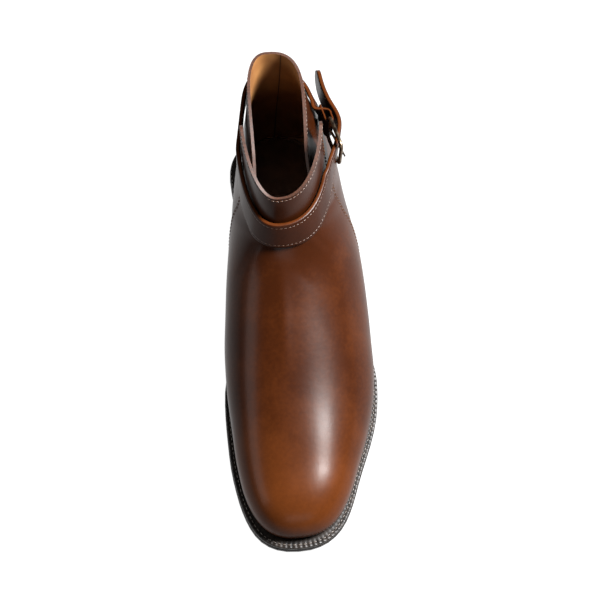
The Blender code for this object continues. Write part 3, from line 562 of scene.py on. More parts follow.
vamp_grid = trimmed_grid(vamp_stations(), 30, LAST_TOP, vamp_top, True, 61)
vamp_grid = pinched(vamp_grid, GAP)
vamp_away = outward(vamp_grid)
rise = sum(height * fold_line(vamp_grid, start, end, width) for start, end, width, height in FOLDS)
rise *= np.clip((vamp_grid[:, :, 2] - 55.0) / 20.0, 0, 1)
vamp_grid = vamp_grid + vamp_away * rise[:, :, None]
quarter_grid = trimmed_grid(quarter_stations(), 60, LAST_TOP, collar, False, 60)
quarter_grid = eased(quarter_grid, *EASED_ROWS, EASING_PASSES)
quarter_grid = pinched(quarter_grid, 0.0)
quarter_grid = quarter_grid - outward(quarter_grid) * LAP

# Burnished calf: chrome-tanned, glazed and polished by hand. The eye sees a clear wax gloss over a
# brown that is clouded at about 25 mm, with hair-cell grain at about 0.5 mm, drawn at 0.8 mm so
# that it shows. A tone on each point moves the brown darker or lighter and carries painted shade
# and painted light.
# The tone runs from CALF_DEEP, reached in the painted shade by the welt, to CALF_LIGHT, reached in
# the painted light on the toe and on the crests of the strap's edges
CALF_DEEP = "#0b0301"
CALF_MID = "#210b02"
CALF_LIGHT = "#452109"
CALF_GLOSS = 0.2
STRAP_GLOSS = 0.3


def calf_material(name, gloss):
    made, shader = new_material(name, {
        "Specular IOR Level": 0.06, "Coat Weight": 0.07, "Coat Roughness": gloss, "Coat IOR": 1.4})
    place = add_node(made, "ShaderNodeTexCoord").outputs["Object"]
    # Each point's tone, which carries the painted light and shade drawn on the pieces
    tone = add_node(made, "ShaderNodeAttribute", {"attribute_name": "tone"}).outputs["Fac"]
    cloud = add_node(made, "ShaderNodeTexNoise",
                     {"Scale": 40.0, "Detail": 5.0, "Roughness": 0.6}, {"Vector": place})
    speck = add_node(made, "ShaderNodeTexNoise", {"Scale": 420.0, "Detail": 3.0}, {"Vector": place})
    drift = add_node(made, "ShaderNodeMath", {"operation": "MULTIPLY_ADD", 1: 0.30, 2: -0.15},
                     {0: cloud.outputs["Fac"]})
    fleck = add_node(made, "ShaderNodeMath", {"operation": "MULTIPLY_ADD", 1: 0.14},
                     {0: speck.outputs["Fac"], 2: drift.outputs["Value"]})
    total = add_node(made, "ShaderNodeMath", {"operation": "ADD"},
                     {0: tone, 1: fleck.outputs["Value"]})
    stops = ((0.0, CALF_DEEP), (0.5, CALF_MID), (1.0, CALF_LIGHT))
    colour = ramp(made, total.outputs["Value"], stops)
    made.node_tree.links.new(colour, shader.inputs["Base Color"])
    sheen = add_node(made, "ShaderNodeMapRange", {"To Min": 0.30, "To Max": 0.38},
                     {"Value": cloud.outputs["Fac"]})
    made.node_tree.links.new(sheen.outputs["Result"], shader.inputs["Roughness"])
    cells = add_node(made, "ShaderNodeTexVoronoi", {"Scale": 1250.0}, {"Vector": place})
    wrinkle = add_node(made, "ShaderNodeTexNoise", {"Scale": 260.0, "Detail": 4.0},
                       {"Vector": place})
    grain = add_node(made, "ShaderNodeBump", {"Strength": 0.10, "Distance": 0.0001},
                     {"Height": cells.outputs["Distance"]})
    soft = add_node(made, "ShaderNodeBump", {"Strength": 0.16, "Distance": 0.0003},
                    {"Height": wrinkle.outputs["Fac"], "Normal": grain.outputs["Normal"]})
    made.node_tree.links.new(soft.outputs["Normal"], shader.inputs["Normal"])
    return made


calf = calf_material("burnished_calf", CALF_GLOSS)

# Calf lining: veg-tanned and unfinished, a dull tan with 0.6 mm pores, its two halves butted
# together down the middle of the back
BACK_SEAM_X = -0.5
BACK_SEAM_HALF = 0.35
lining, shader, place, tint = pored_leather("calf_lining", 0.58, 60.0,
                                            ((0.3, "#5a3819"), (0.7, "#6c4a27")))
apart = add_node(lining, "ShaderNodeSeparateXYZ", {}, {"Vector": place})
aside = add_node(lining, "ShaderNodeMath",
                 {"operation": "COMPARE", 1: BACK_SEAM_X * MM, 2: BACK_SEAM_HALF * MM},
                 {0: apart.outputs["X"]})
behind = add_node(lining, "ShaderNodeMath", {"operation": "GREATER_THAN", 1: 0.0},
                  {0: apart.outputs["Y"]})
seam = add_node(lining, "ShaderNodeMath", {"operation": "MULTIPLY"},
                {0: aside.outputs["Value"], 1: behind.outputs["Value"]})
joined = add_node(lining, "ShaderNodeMix", {"data_type": "RGBA", 7: linear("#2c1608")},
                  {0: seam.outputs["Value"], 6: tint})
lining.node_tree.links.new(joined.outputs[2], shader.inputs["Base Color"])


def clouded_material(name, settings, noise, stops, relief=None, roughness=None):
    """A material whose colour follows a noise. So may its relief, given as strength and distance,
    and its roughness, given as least and most."""
    made, shader = new_material(name, settings)
    place = add_node(made, "ShaderNodeTexCoord").outputs["Object"]
    cloud = add_node(made, "ShaderNodeTexNoise", noise, {"Vector": place}).outputs["Fac"]
    made.node_tree.links.new(ramp(made, cloud, stops), shader.inputs["Base Color"])
    if relief:
        strength, distance = relief
        bump = add_node(made, "ShaderNodeBump", {"Strength": strength, "Distance": distance},
                        {"Height": cloud})
        made.node_tree.links.new(bump.outputs["Normal"], shader.inputs["Normal"])
    if roughness:
        least, most = roughness
        sheen = add_node(made, "ShaderNodeMapRange", {"To Min": least, "To Max": most},
                         {"Value": cloud})
        made.node_tree.links.new(sheen.outputs["Result"], shader.inputs["Roughness"])
    return made


# Cut edge of calf, stained and rubbed: fibrous at about 0.3 mm, warmer than the glazed face
cut_edge = clouded_material(
    "stained_cut_edge", {"Roughness": 0.5}, {"Scale": 900.0, "Detail": 3.0},
    ((0.3, "#1d0c04"), (0.7, "#381d0f")), relief=(0.3, 0.0001))


def new_piece(name, work, materials):
    """A smooth-shaded piece of the worked mesh, with these materials."""
    mesh = bpy.data.meshes.new(name)
    work.to_mesh(mesh)
    work.free()
    mesh.shade_smooth()
    for material in materials:
        mesh.materials.append(material)
    piece = bpy.data.objects.new(name, mesh)
    bpy.context.scene.collection.objects.link(piece)
    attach(piece, "root")
    return piece


def skin(grid, tone, weld):
    """A worked mesh over the grid, with its tone kept on each point."""
    rows, across = grid.shape[:2]
    work = bmesh.new()
    bmesh.ops.create_grid(work, x_segments=across - 1, y_segments=rows - 1, size=0.5)
    layer = work.verts.layers.float.new("tone")
    for vert, spot, value in zip(work.verts, to_world(grid).reshape(-1, 3), tone.reshape(-1)):
        vert.co = spot
        vert[layer] = value
    bmesh.ops.remove_doubles(work, verts=work.verts, dist=weld)
    return work


def sheet_piece(name, grid, tone, thick, materials):
    """A wall of leather this thick, whose outer face is the grid."""
    work = skin(grid, tone, 1e-5)
    bmesh.ops.recalc_face_normals(work, faces=work.faces)
    piece = new_piece(name, work, materials)
    wall = piece.modifiers.new("wall", "SOLIDIFY")
    wall.thickness = thick * MM
    wall.offset = -1.0
    wall.use_quality_normals = True
    wall.material_offset = 1
    wall.material_offset_rim = 2
    rim = piece.modifiers.new("rubbed rim", "BEVEL")
    rim.width = RIM_ROUND * MM
    rim.segments = 2
    rim.limit_method = "ANGLE"
    rim.angle_limit = 0.9
    rim.harden_normals = True
    return piece


def above_welt(grid):
    return grid[:, :, 2] - foot_height(np.clip(grid[:, :, 1], FOOT_HEEL, FOOT_TIP))


def ends_of(grid):
    """Distance in millimetres of each point from its row's nearer end."""
    step = np.linalg.norm(np.diff(grid, axis=1), axis=2)
    run = np.concatenate([np.zeros((len(grid), 1)), np.cumsum(step, axis=1)], axis=1)
    return np.minimum(run, run[:, -1:] - run)


# The vamp's tone: lighter over the toe, a painted pool of the key light; much darker within a few
# mm of the welt, painted shade where the upper meets it; darker up the instep above 80 mm and near
# the ends of each section, along the vamp's back edges
toe_painted_light = np.clip((vamp_grid[:, :, 1] - 215.0) / 60.0, 0, 1)
vamp_tone = 0.46 + 0.20 * toe_painted_light - 0.42 * np.exp(-above_welt(vamp_grid) / 5.0)
vamp_tone -= 0.22 * np.clip((vamp_grid[:, :, 2] - 80.0) / 40.0, 0, 1)
vamp_tone -= 0.18 * np.exp(-ends_of(vamp_grid) / 3.0)
upper_materials = (calf, lining, cut_edge)
vamp = sheet_piece("vamp", vamp_grid, vamp_tone, WALL, upper_materials)
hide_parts("upper")

# The quarters' tone: darker near the welt, painted shade where the upper meets it, and darker above
# 100 mm up the shaft
quarter_tone = 0.36 - 0.36 * np.exp(-above_welt(quarter_grid) / 6.0)
quarter_tone -= 0.10 * np.clip((quarter_grid[:, :, 2] - 100.0) / 40.0, 0, 1)
quarters = sheet_piece("quarters", quarter_grid, quarter_tone, WALL, upper_materials)
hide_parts("upper")

# The sock, a thin sheet of the insole's leather glued over it and up to the upper's wall
SOCK_THICK = 0.9
SOCK_LAP = 1.4
SOCK_CURL = 1.6
sock_inset = PINCH + LAP + WALL - SOCK_LAP
sock_along = np.linspace(FOOT_HEEL + sock_inset, FOOT_TIP - PINCH - WALL - 0.2, 90)
sock_half = half_width(sock_along, upper_inset(sock_along) + sock_inset, sock_along[0] - 0.01,
                       SOLE_LENGTH - sock_along[-1] - 0.01)
sock_across = np.linspace(-1, 1, 31)
sock_rise = OUTSOLE_THICK + 2 * GAP + INSOLE_THICK + SOCK_THICK
sock_grid = np.zeros((len(sock_along), len(sock_across), 3))
sock_grid[:, :, 0] = middle(sock_along)[:, None] + sock_half[:, None] * sock_across
sock_grid[:, :, 1] = sock_along[:, None]
sock_curl = SOCK_CURL * np.abs(sock_across) ** 6
sock_grid[:, :, 2] = underside(sock_along)[:, None] + sock_rise + sock_curl
sheet_piece("sock", sock_grid, np.zeros(sock_grid.shape[:2]), SOCK_THICK, [sock_leather] * 3)

# Upper seams
# Waxed linen thread, brown, about 0.5 mm thick at 9 stitches to the inch. A double row holds the
# vamp's back edges down on the quarters, and one row binds the vamp's top and the collar.

thread = clouded_material("waxed_brown_thread", {"Roughness": 0.45}, {"Scale": 2500.0},
                          ((0.3, "#26150b"), (0.7, "#432916")))


def at_length(line, distance):
    """The point of a polyline this far from its start."""
    run = np.concatenate([[0], np.cumsum(np.linalg.norm(np.diff(line, axis=0), axis=1))])
    return np.array([np.interp(distance, run, line[:, i]) for i in range(3)])


def thread_row(name, line, size, material):
    """Stitches of one length, gap and radius, laid end to end along a line in millimetres."""
    stitch, gap, radius = size
    line = np.asarray(line)
    total = np.linalg.norm(np.diff(line, axis=0), axis=1).sum()
    count = int(total / (stitch + gap))
    work = bmesh.new()
    for number in range(count):
        centre = (number + 0.5) * total / count
        start = Vector(to_world(at_length(line, centre - stitch / 2)))
        end = Vector(to_world(at_length(line, centre + stitch / 2)))
        turn = (end - start).to_track_quat("Z", "Y").to_matrix().to_4x4()
        stretch = Matrix.Diagonal((radius * MM, radius * MM, (end - start).length / 2, 1.0))
        bmesh.ops.create_uvsphere(work, u_segments=8, v_segments=6, radius=1.0,
                                  matrix=Matrix.Translation((start + end) / 2) @ turn @ stretch)
    new_piece(name, work, [material])


# A stitch's length, the gap after it and its radius
BACK_STITCH = (2.2, 0.6, 0.28)
TOP_STITCH = (2.2, 0.6, 0.26)
SEAM_INSETS = (1.7, 4.0)
SEAM_FOOT = 4.0
EDGE_INSET = 2.0
FACE_LIFT = 0.08

vamp_face = vamp_grid + outward(vamp_grid) * FACE_LIFT
off_welt = above_welt(vamp_grid) > SEAM_FOOT
outer_rows = vamp_face[off_welt[:, -1], ::-1]
inner_rows = vamp_face[off_welt[:, -1] & off_welt[:, 0]]
for number, inset in enumerate(SEAM_INSETS):
    for side, rows in (("outer", outer_rows), ("inner", inner_rows)):
        line = [at_length(row, inset) for row in rows]
        thread_row(f"vamp_seam_{side}_{number + 1}", line, BACK_STITCH, thread)
top_line = [at_length(vamp_face[::-1, k], EDGE_INSET) for k in range(2, vamp_face.shape[1] - 2)]
thread_row("vamp_top_seam", top_line, TOP_STITCH, thread)
collar_face = quarter_grid + outward(quarter_grid) * FACE_LIFT
collar_line = [at_length(collar_face[::-1, k], EDGE_INSET) for k in range(quarter_grid.shape[1])]
thread_row("collar_seam", collar_line, TOP_STITCH, thread)

# Welt
# A strip of black bridle leather round the whole edge, 3 mm thick, stitched down with dark waxed
# thread whose glints are painted into a light grey colour. A hot wheel has pressed a notch beside
# every stitch, about 3.4 mm apart.

INNER_EDGE = PINCH + LAP + WALL + WELT_UNDER_WALL
WELT_PITCH = 3.4
WELT_STEPS_PER_PITCH = 6


def even_outline():
    """The outline and its inward directions in even steps, a few to a stitch, and the stitches."""
    fine = np.concatenate([
        HEEL_ROUND * (1 - np.cos(np.linspace(0, np.pi / 2, 80))),
        np.linspace(HEEL_ROUND, SOLE_LENGTH - TOE_ROUND, 240)[1:],
        SOLE_LENGTH - TOE_ROUND * (1 - np.cos(np.linspace(np.pi / 2, 0, 100)[1:])),
    ])
    half = half_width(fine, 0.0, 0.0, 0.0)
    centre = middle(fine)
    outer = np.stack([centre + half, fine], axis=1)
    inner = np.stack([centre - half, fine], axis=1)
    loop = np.concatenate([outer, inner[::-1][1:]])
    run = np.concatenate([[0], np.cumsum(np.hypot(*np.diff(loop, axis=0).T))])
    stitches = int(run[-1] / WELT_PITCH)
    places = np.linspace(0, run[-1], stitches * WELT_STEPS_PER_PITCH + 1)[:-1]
    even = np.stack([np.interp(places, run, loop[:, i]) for i in range(2)], axis=1)
    for _ in range(4):
        even = 0.5 * even + 0.25 * (np.roll(even, 1, axis=0) + np.roll(even, -1, axis=0))
    ahead = np.roll(even, -1, axis=0) - np.roll(even, 1, axis=0)
    ahead /= np.hypot(ahead[:, 0], ahead[:, 1])[:, None]
    return even, np.stack([-ahead[:, 1], ahead[:, 0]], axis=1), stitches


edge_line, edge_inward, stitch_count = even_outline()
edge_along = np.clip(edge_line[:, 1], 0.0, SOLE_LENGTH)
wave = np.cos(np.linspace(0, 2 * np.pi, WELT_STEPS_PER_PITCH, endpoint=False))
notch = np.tile(wave, stitch_count)


def welt_loop(inset, lift, notch_depth):
    """A loop round the welt this far in from its edge and this far over its lower face."""
    plan = edge_line + edge_inward * np.reshape(inset * np.ones(len(edge_line)), (-1, 1))
    low = underside(np.clip(plan[:, 1], 0.0, SOLE_LENGTH)) + OUTSOLE_THICK + GAP
    return np.concatenate([plan, (low + lift - notch_depth * (1 - notch) / 2)[:, None]], axis=1)


def tube_piece(name, loops, closed, material, tone=None):
    """A skin over a row of loops, which joins the last to the first when closed."""
    if tone is None:
        tone = np.zeros(loops.shape[:2])
    loops = np.concatenate([loops, loops[:, :1]], axis=1)
    tone = np.concatenate([tone, tone[:, :1]], axis=1)
    if closed:
        loops = np.concatenate([loops, loops[:1]])
        tone = np.concatenate([tone, tone[:1]])
    work = skin(loops, tone, 1e-6)
    bmesh.ops.holes_fill(work, edges=[e for e in work.edges if e.is_boundary], sides=0)
    bmesh.ops.recalc_face_normals(work, faces=work.faces)
    return new_piece(name, work, [material])


# Black edge leather: dyed, waxed and burnished with a hot iron, so a soft satin with a few rubs
black_edge = clouded_material(
    "waxed_black_edge", {"Specular IOR Level": 0.15, "Coat Weight": 0.06, "Coat Roughness": 0.3},
    {"Scale": 180.0, "Detail": 5.0}, ((0.35, "#0a0807"), (0.8, "#201a16")),
    relief=(0.2, 0.0002), roughness=(0.32, 0.55))

under_wall = upper_inset(edge_along) + INNER_EDGE
seen = upper_inset(edge_along)
welt_loops = [
    welt_loop(under_wall, 0.0, 0.0),
    welt_loop(0.6, 0.0, 0.0),
    welt_loop(0.3, 0.4, 0.0),
    welt_loop(0.3, WELT_THICK - 0.8, 0.0),
    welt_loop(0.5, WELT_THICK - 0.3, 0.10),
    welt_loop(0.9, WELT_THICK, 0.28),
    welt_loop(0.35 * seen + 0.4, WELT_THICK, 0.34),
    welt_loop(0.58 * seen + 0.3, WELT_THICK - 0.1, 0.30),
    welt_loop(0.80 * seen, WELT_THICK, 0.0),
    welt_loop(under_wall, WELT_THICK, 0.0),
]
welt = tube_piece("welt_strip", np.stack(welt_loops, axis=1), True, black_edge)
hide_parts("welt")

# Waxed linen welt thread, dark, drawn light grey as a painted glint so that each stitch shows as a
# point
welt_thread_painted_glint = new_material(
    "waxed_thread_painted_glint", {"Base Color": linear("#48403a"), "Roughness": 0.4})[0]
WELT_STITCH = (2.3, 1.1, 0.33)
welt_seam = welt_loop(0.5 * seen, WELT_THICK + 0.12, 0.0)
welt_seam = np.concatenate([welt_seam, welt_seam[:1]])
thread_row("welt_seam", welt_seam, WELT_STITCH, welt_thread_painted_glint)

# Outsole
# One 5 mm sheet of oak-bark leather: its edge is inked black and waxed, its tread left natural and
# lightly rubbed.

sole_leather, shader = new_material("bark_tanned_sole", {"Specular IOR Level": 0.15})
place = add_node(sole_leather, "ShaderNodeTexCoord").outputs["Object"]
facing = add_node(sole_leather, "ShaderNodeNewGeometry").outputs["Normal"]
split = add_node(sole_leather, "ShaderNodeSeparateXYZ", links={"Vector": facing})
tread = add_node(sole_leather, "ShaderNodeMapRange", {"From Min": -0.75, "From Max": -0.9},
                 {"Value": split.outputs["Z"]})
cloud = add_node(sole_leather, "ShaderNodeTexNoise", {"Scale": 45.0, "Detail": 6.0},
                 {"Vector": place})
natural = ramp(sole_leather, cloud.outputs["Fac"], ((0.3, "#634626"), (0.7, "#82633c")))
inked = ramp(sole_leather, cloud.outputs["Fac"], ((0.3, "#0c0a09"), (0.8, "#231d1a")))
blend = add_node(sole_leather, "ShaderNodeMix", {"data_type": "RGBA"},
                 {0: tread.outputs["Result"], 6: inked, 7: natural})
sole_leather.node_tree.links.new(blend.outputs[2], shader.inputs["Base Color"])
dull = add_node(sole_leather, "ShaderNodeMapRange", {"To Min": 0.38, "To Max": 0.62},
                {"Value": tread.outputs["Result"]})
sole_leather.node_tree.links.new(dull.outputs["Result"], shader.inputs["Roughness"])
fibre = add_node(sole_leather, "ShaderNodeTexNoise", {"Scale": 700.0, "Detail": 3.0},
                 {"Vector": place})
relief = add_node(sole_leather, "ShaderNodeBump", {"Strength": 0.2, "Distance": 0.0002},
                  {"Height": fibre.outputs["Fac"]})
sole_leather.node_tree.links.new(relief.outputs["Normal"], shader.inputs["Normal"])

# The sheet has the CAD node's shape, with its facets shaded as one smooth face up to its edges
SHARP_ANGLE = 0.6
cad_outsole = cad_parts["outsole"]
work = bmesh.new()
work.from_mesh(cad_outsole.data)
work.transform(cad_outsole.matrix_world)
bmesh.ops.remove_doubles(work, verts=work.verts, dist=1e-6)
outsole = new_piece("outsole_sheet", work, [sole_leather])
outsole.data.set_sharp_from_angle(angle=SHARP_ANGLE)
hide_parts("outsole")

# Heel
# Three lifts of sole leather pasted and pegged together, inked black round the edge, on a black
# rubber top piece that takes the wear.

LIFT_COUNT = 3
TOP_PIECE_THICK = 6.0
HEEL_BREAST = 75.0
HEEL_INSET = 0.8
HEEL_TAPER = 2.4
HEEL_TAPER_POWER = 1.2
BREAST_RAKE = 3.0
BREAST_HOLLOW = 3.0
LAYER_SHARP_ANGLE = 0.9

# The rubbed edges of a layer: height from its face, and how far the outline is drawn in there
EDGE_ROUNDS = ((0.0, 0.35), (0.12, 0.12), (0.4, 0.0))


def heel_plan(inset, breast):
    """The heel's outline at one height: round the back, along both sides and across the breast."""
    turn = np.linspace(0, np.pi / 2, 48)
    back = inset + (HEEL_ROUND - inset) * (1 - np.cos(turn))
    along = np.concatenate([back, np.linspace(HEEL_ROUND, breast, 24)[1:]])
    half = half_width(along, inset, inset, 0.0)
    outer = np.stack([middle(along) + half, along], axis=1)
    inner = np.stack([middle(along) - half, along], axis=1)
    across = np.linspace(1, -1, 33)[1:-1]
    hollow = BREAST_HOLLOW * (1 - across ** 2)
    front = np.stack([middle(breast) + half[-1] * across, breast - hollow], axis=1)
    return np.concatenate([outer, front, inner[::-1][:-1]])


def heel_layer(name, node, low_rule, high_rule, material):
    """One layer of the heel between two faces, each given as its height at a distance along."""
    low = float(low_rule(0.0))
    thick = float(high_rule(0.0)) - low
    seat_top = float(underside(0.0)) - GAP
    downward = tuple((thick - lift, draw) for lift, draw in EDGE_ROUNDS[::-1])
    loops = []
    for lift, draw in EDGE_ROUNDS + downward:
        taper = max(1 - (low + lift) / seat_top, 0.0)
        plan = heel_plan(HEEL_INSET + HEEL_TAPER * taper ** HEEL_TAPER_POWER + draw,
                         HEEL_BREAST - BREAST_RAKE * taper - draw)
        foot = low_rule(plan[:, 1])
        height = foot + (high_rule(plan[:, 1]) - foot) * lift / thick
        loops.append(np.concatenate([plan, height[:, None]], axis=1))
    piece = tube_piece(name, np.array(loops), False, material)
    piece.data.set_sharp_from_angle(angle=LAYER_SHARP_ANGLE)
    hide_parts(node)


def lift_edge(number):
    """The height rule of the face under this lift, which leans with the seat."""
    low = TOP_PIECE_THICK + GAP
    return lambda along: low + (underside(along) - low) * number / LIFT_COUNT


for number in range(LIFT_COUNT):
    heel_layer(f"stacked_lift_{number + 1}", f"heel_lift_{number + 1}", lift_edge(number),
               lambda along, upper=lift_edge(number + 1): upper(along) - GAP, black_edge)

# Moulded rubber: dull, with the dust of the mould in it
rubber = clouded_material(
    "moulded_black_rubber", {"Roughness": 0.7, "Specular IOR Level": 0.3},
    {"Scale": 300.0, "Detail": 4.0}, ((0.4, "#111010"), (0.8, "#2b2927")), relief=(0.3, 0.0002))
heel_layer("rubber_top_piece", "heel_top_piece", lambda along: 0.0 * along,
           lambda along: 0.0 * along + TOP_PIECE_THICK, rubber)

# Strap
# Two layers of the same calf round a filler, stitched near both edges, 3 mm thick. It runs
# once round the ankle, through the buckle, and its rounded tail stands off behind.

# A place in plan is x and the distance along the boot
STRAP_WIDE = 18.0
STRAP_THICK = 3.0
STRAP_CLEAR = 0.8
STRAP_BACK_TOP = 130.0
STRAP_DROP = 0.045
SHAFT_CENTRE = (-3.0, 66.0)
FOLD_BEHIND = (12.0, 7.0, 2.5)
FOLD_OUTSIDE = (2.5, 6.0)
TIP_BLUNT = 0.6
BELT_POINTS = 320
BELT_ROWS = 64
BELT_EASING = 8
STRAP_STEP = 1.3
BELT_FIRST = 0.80
BELT_SWEEP = 4.72
BAR_RADIUS = 1.3
FOLD_THICK = 1.5
BACK_BAR = (29.6, 50.5)
FRAME_SLANT = 0.24
FRAME_LONG = 24.0
FRAME_HIGH = 23.4
FRAME_CORNER = 4.0
PRONG_RADIUS = 0.9
PRONG_PAST = 1.6
# The free end's x and along, and how far its upper edge leans in and its lower edge out
FREE_END = (
    (26.8, 87.0, 1.8),
    (28.3, 82.0, 1.5),
    (29.8, 77.3, 1.1),
    (31.2, 73.0, 0.7),
    (32.5, 69.0, 0.3),
    (34.2, 63.0, 0.0),
    (35.6, 57.5, 0.0),
    (36.1, 52.0, 0.0),
    (35.2, 46.6, 0.0),
    (33.3, 41.6, 0.0),
    (31.2, 36.8, 0.0),
    (29.4, 31.8, 0.0),
    (28.0, 26.8, 0.0),
    (27.0, 21.8, 0.0),
    (26.3, 16.8, 0.0),
    (25.9, 12.3, 0.0),
    (25.75, 10.4, 0.0),
    (25.7, 9.4, 0.0),
)


def shaft_contour(grid, height_rule):
    """Where each column of the grid passes a slanting level, as rows of x and along."""
    found = []
    over = grid[:, :, 2] - height_rule(grid[:, :, 1])
    for k in range(grid.shape[1]):
        above = np.nonzero(over[:, k] >= 0)[0]
        if len(above) == 0 or above[0] == 0:
            continue
        i = above[0]
        part = over[i - 1, k] / (over[i - 1, k] - over[i, k])
        found.append((grid[i - 1, k] + (grid[i, k] - grid[i - 1, k]) * part)[:2])
    return found


def tight_outline(points):
    """The convex outline round the points in plan."""
    points = sorted({(round(float(x), 4), round(float(along), 4)) for x, along in points})

    def chain(ordered):
        kept = []
        for point in ordered:
            while len(kept) > 1:
                (ax, ay), (bx, by) = kept[-2], kept[-1]
                if (bx - ax) * (point[1] - ay) - (by - ay) * (point[0] - ax) > 0:
                    break
                kept.pop()
            kept.append(point)
        return kept[:-1]

    return np.array(chain(points) + chain(points[::-1]))


def plan_sideways(line, closed):
    """The unit direction to the left of a line in plan, at each of its points."""
    if closed:
        ahead = np.roll(line, -1, axis=0) - np.roll(line, 1, axis=0)
    else:
        ahead = np.gradient(line, axis=0)
    ahead = ahead / np.hypot(ahead[:, 0], ahead[:, 1])[:, None]
    return np.stack([-ahead[:, 1], ahead[:, 0]], axis=1)


def belt_line(sheets, height_rule, clear):
    """A fine loop drawn tight round the sheets at a slanting level, standing off by a gap."""
    hull = tight_outline([point for sheet in sheets for point in shaft_contour(sheet, height_rule)])
    loop = np.concatenate([hull, hull[:1]])
    length = np.concatenate([[0], np.cumsum(np.hypot(*np.diff(loop, axis=0).T))])
    places = np.linspace(0, length[-1], BELT_POINTS + 1)[:-1]
    line = np.stack([np.interp(places, length, loop[:, i]) for i in range(2)], axis=1)
    for _ in range(BELT_EASING):
        line = 0.5 * line + 0.25 * (np.roll(line, 1, axis=0) + np.roll(line, -1, axis=0))
    return line - plan_sideways(line, True) * clear


def bearing(line):
    """Direction from the middle of the shaft, from the outer side round the back and on."""
    centre = np.array(SHAFT_CENTRE)
    turn = np.arctan2(centre[1] - line[:, 1], line[:, 0] - centre[0])
    return np.mod(turn - BELT_FIRST, 2 * np.pi)


def at_bearings(line, bearings):
    turn = bearing(line)
    order = np.argsort(turn)
    return np.stack([
        np.interp(bearings, turn[order], line[order, i], period=2 * np.pi) for i in range(2)
    ], axis=1)


def strap_top(along):
    return STRAP_BACK_TOP - STRAP_DROP * along


def strap_bottom(along):
    return strap_top(along) - STRAP_WIDE


def frame_axes():
    """Directions in plan: towards the front bar, and away from the boot."""
    forward = np.array([np.sin(FRAME_SLANT), np.cos(FRAME_SLANT)])
    outward = np.array([np.cos(FRAME_SLANT), -np.sin(FRAME_SLANT)])
    return forward, outward


def strap_rows(sheets):
    """The strap's course: per row the plan places of its upper and lower edge, and its thickness.
    It starts with the folded end at the bar, goes once round and ends with the free end."""
    clear = STRAP_CLEAR + STRAP_THICK / 2
    top_line = belt_line(sheets, strap_top, clear)
    bottom_line = belt_line(sheets, strap_bottom, clear)
    turn = bearing(top_line)
    evenly = top_line[np.argsort(turn)][::BELT_POINTS // BELT_ROWS]
    bearings = bearing(evenly)
    bearings = bearings[bearings < BELT_SWEEP]
    top = at_bearings(top_line, bearings)
    bottom = at_bearings(bottom_line, bearings)
    bar = np.array(BACK_BAR)
    away = BAR_RADIUS + GAP + FOLD_THICK / 2
    forward, outward = frame_axes()
    fold = [bar - outward * away - forward * back for back in FOLD_BEHIND]
    for turn in np.linspace(-np.pi / 2, np.pi / 2, 9):
        fold.append(bar + forward * away * np.cos(turn) + outward * away * np.sin(turn))
    fold += [bar + outward * away - forward * back for back in FOLD_OUTSIDE]
    free = np.array(FREE_END)[:, :2]
    lean = np.outer([row[2] for row in FREE_END], [1.0, 0.0])
    plan_top = np.concatenate([fold, top, free - lean])
    plan_bottom = np.concatenate([fold, bottom, free + lean])
    thick = np.array([FOLD_THICK] * len(fold) + [STRAP_THICK] * (len(top) + len(free)))
    return plan_top, plan_bottom, thick


def refined(line, spacing):
    """A smooth curve through the line's points, with points at about this spacing."""
    run = np.concatenate([[0], np.cumsum(np.linalg.norm(np.diff(line, axis=0), axis=1))])
    places = np.linspace(0, run[-1], int(run[-1] / spacing))
    return np.stack([spline(places, run, line[:, i]) for i in range(line.shape[1])], axis=1)


plan_top, plan_bottom, thick = strap_rows((vamp_grid, quarter_grid))
course = np.concatenate([plan_top, plan_bottom, thick[:, None]], axis=1)
course = refined(course, STRAP_STEP)
plan_top = course[:, :2]
plan_bottom = course[:, 2:4]
thick = np.clip(course[:, 4], FOLD_THICK, STRAP_THICK)
strap_side = plan_sideways((plan_top + plan_bottom) / 2, False)
tip_reach = np.hypot(*(plan_top - plan_top[-1]).T)
half_up = np.ones(len(plan_top))
near_tip = tip_reach < STRAP_WIDE / 2
part_in = (tip_reach[near_tip] + TIP_BLUNT) / (STRAP_WIDE / 2 + TIP_BLUNT)
half_up[near_tip] = np.sqrt(1 - (1 - part_in) ** 2)

# The strap's section, in parts of its half thickness and half width: two faces with a stitch
# channel near each edge, and rounded cut edges between them
CHANNEL_UP = 0.755
FACE_UPS = (-0.84, -0.79, -0.755, -0.72, -0.66, -0.35, 0.0, 0.35, 0.66, 0.72, 0.755, 0.79, 0.84)
CHANNEL_DEPTH = 0.12
EDGE_TURNS = 7
section = []
section_tone_and_highlight = []
for face in (1, -1):
    for up in FACE_UPS:
        channel = CHANNEL_DEPTH if abs(up) == CHANNEL_UP else 0.0
        section.append((face * (1 - channel), face * up))
        section_tone_and_highlight.append(0.26)
    # The crest of each rounded cut edge is drawn light, partly the cut edge's own paler stain and
    # partly a painted highlight along it; beside the crest it is drawn a little darker than the
    # faces
    for turn in np.linspace(0, np.pi, EDGE_TURNS):
        section.append((face * np.cos(turn) * 0.98, face * (0.90 + 0.10 * np.sin(turn) ** 0.7)))
        section_tone_and_highlight.append(0.62 if 0.6 < turn < np.pi - 0.6 else 0.2)

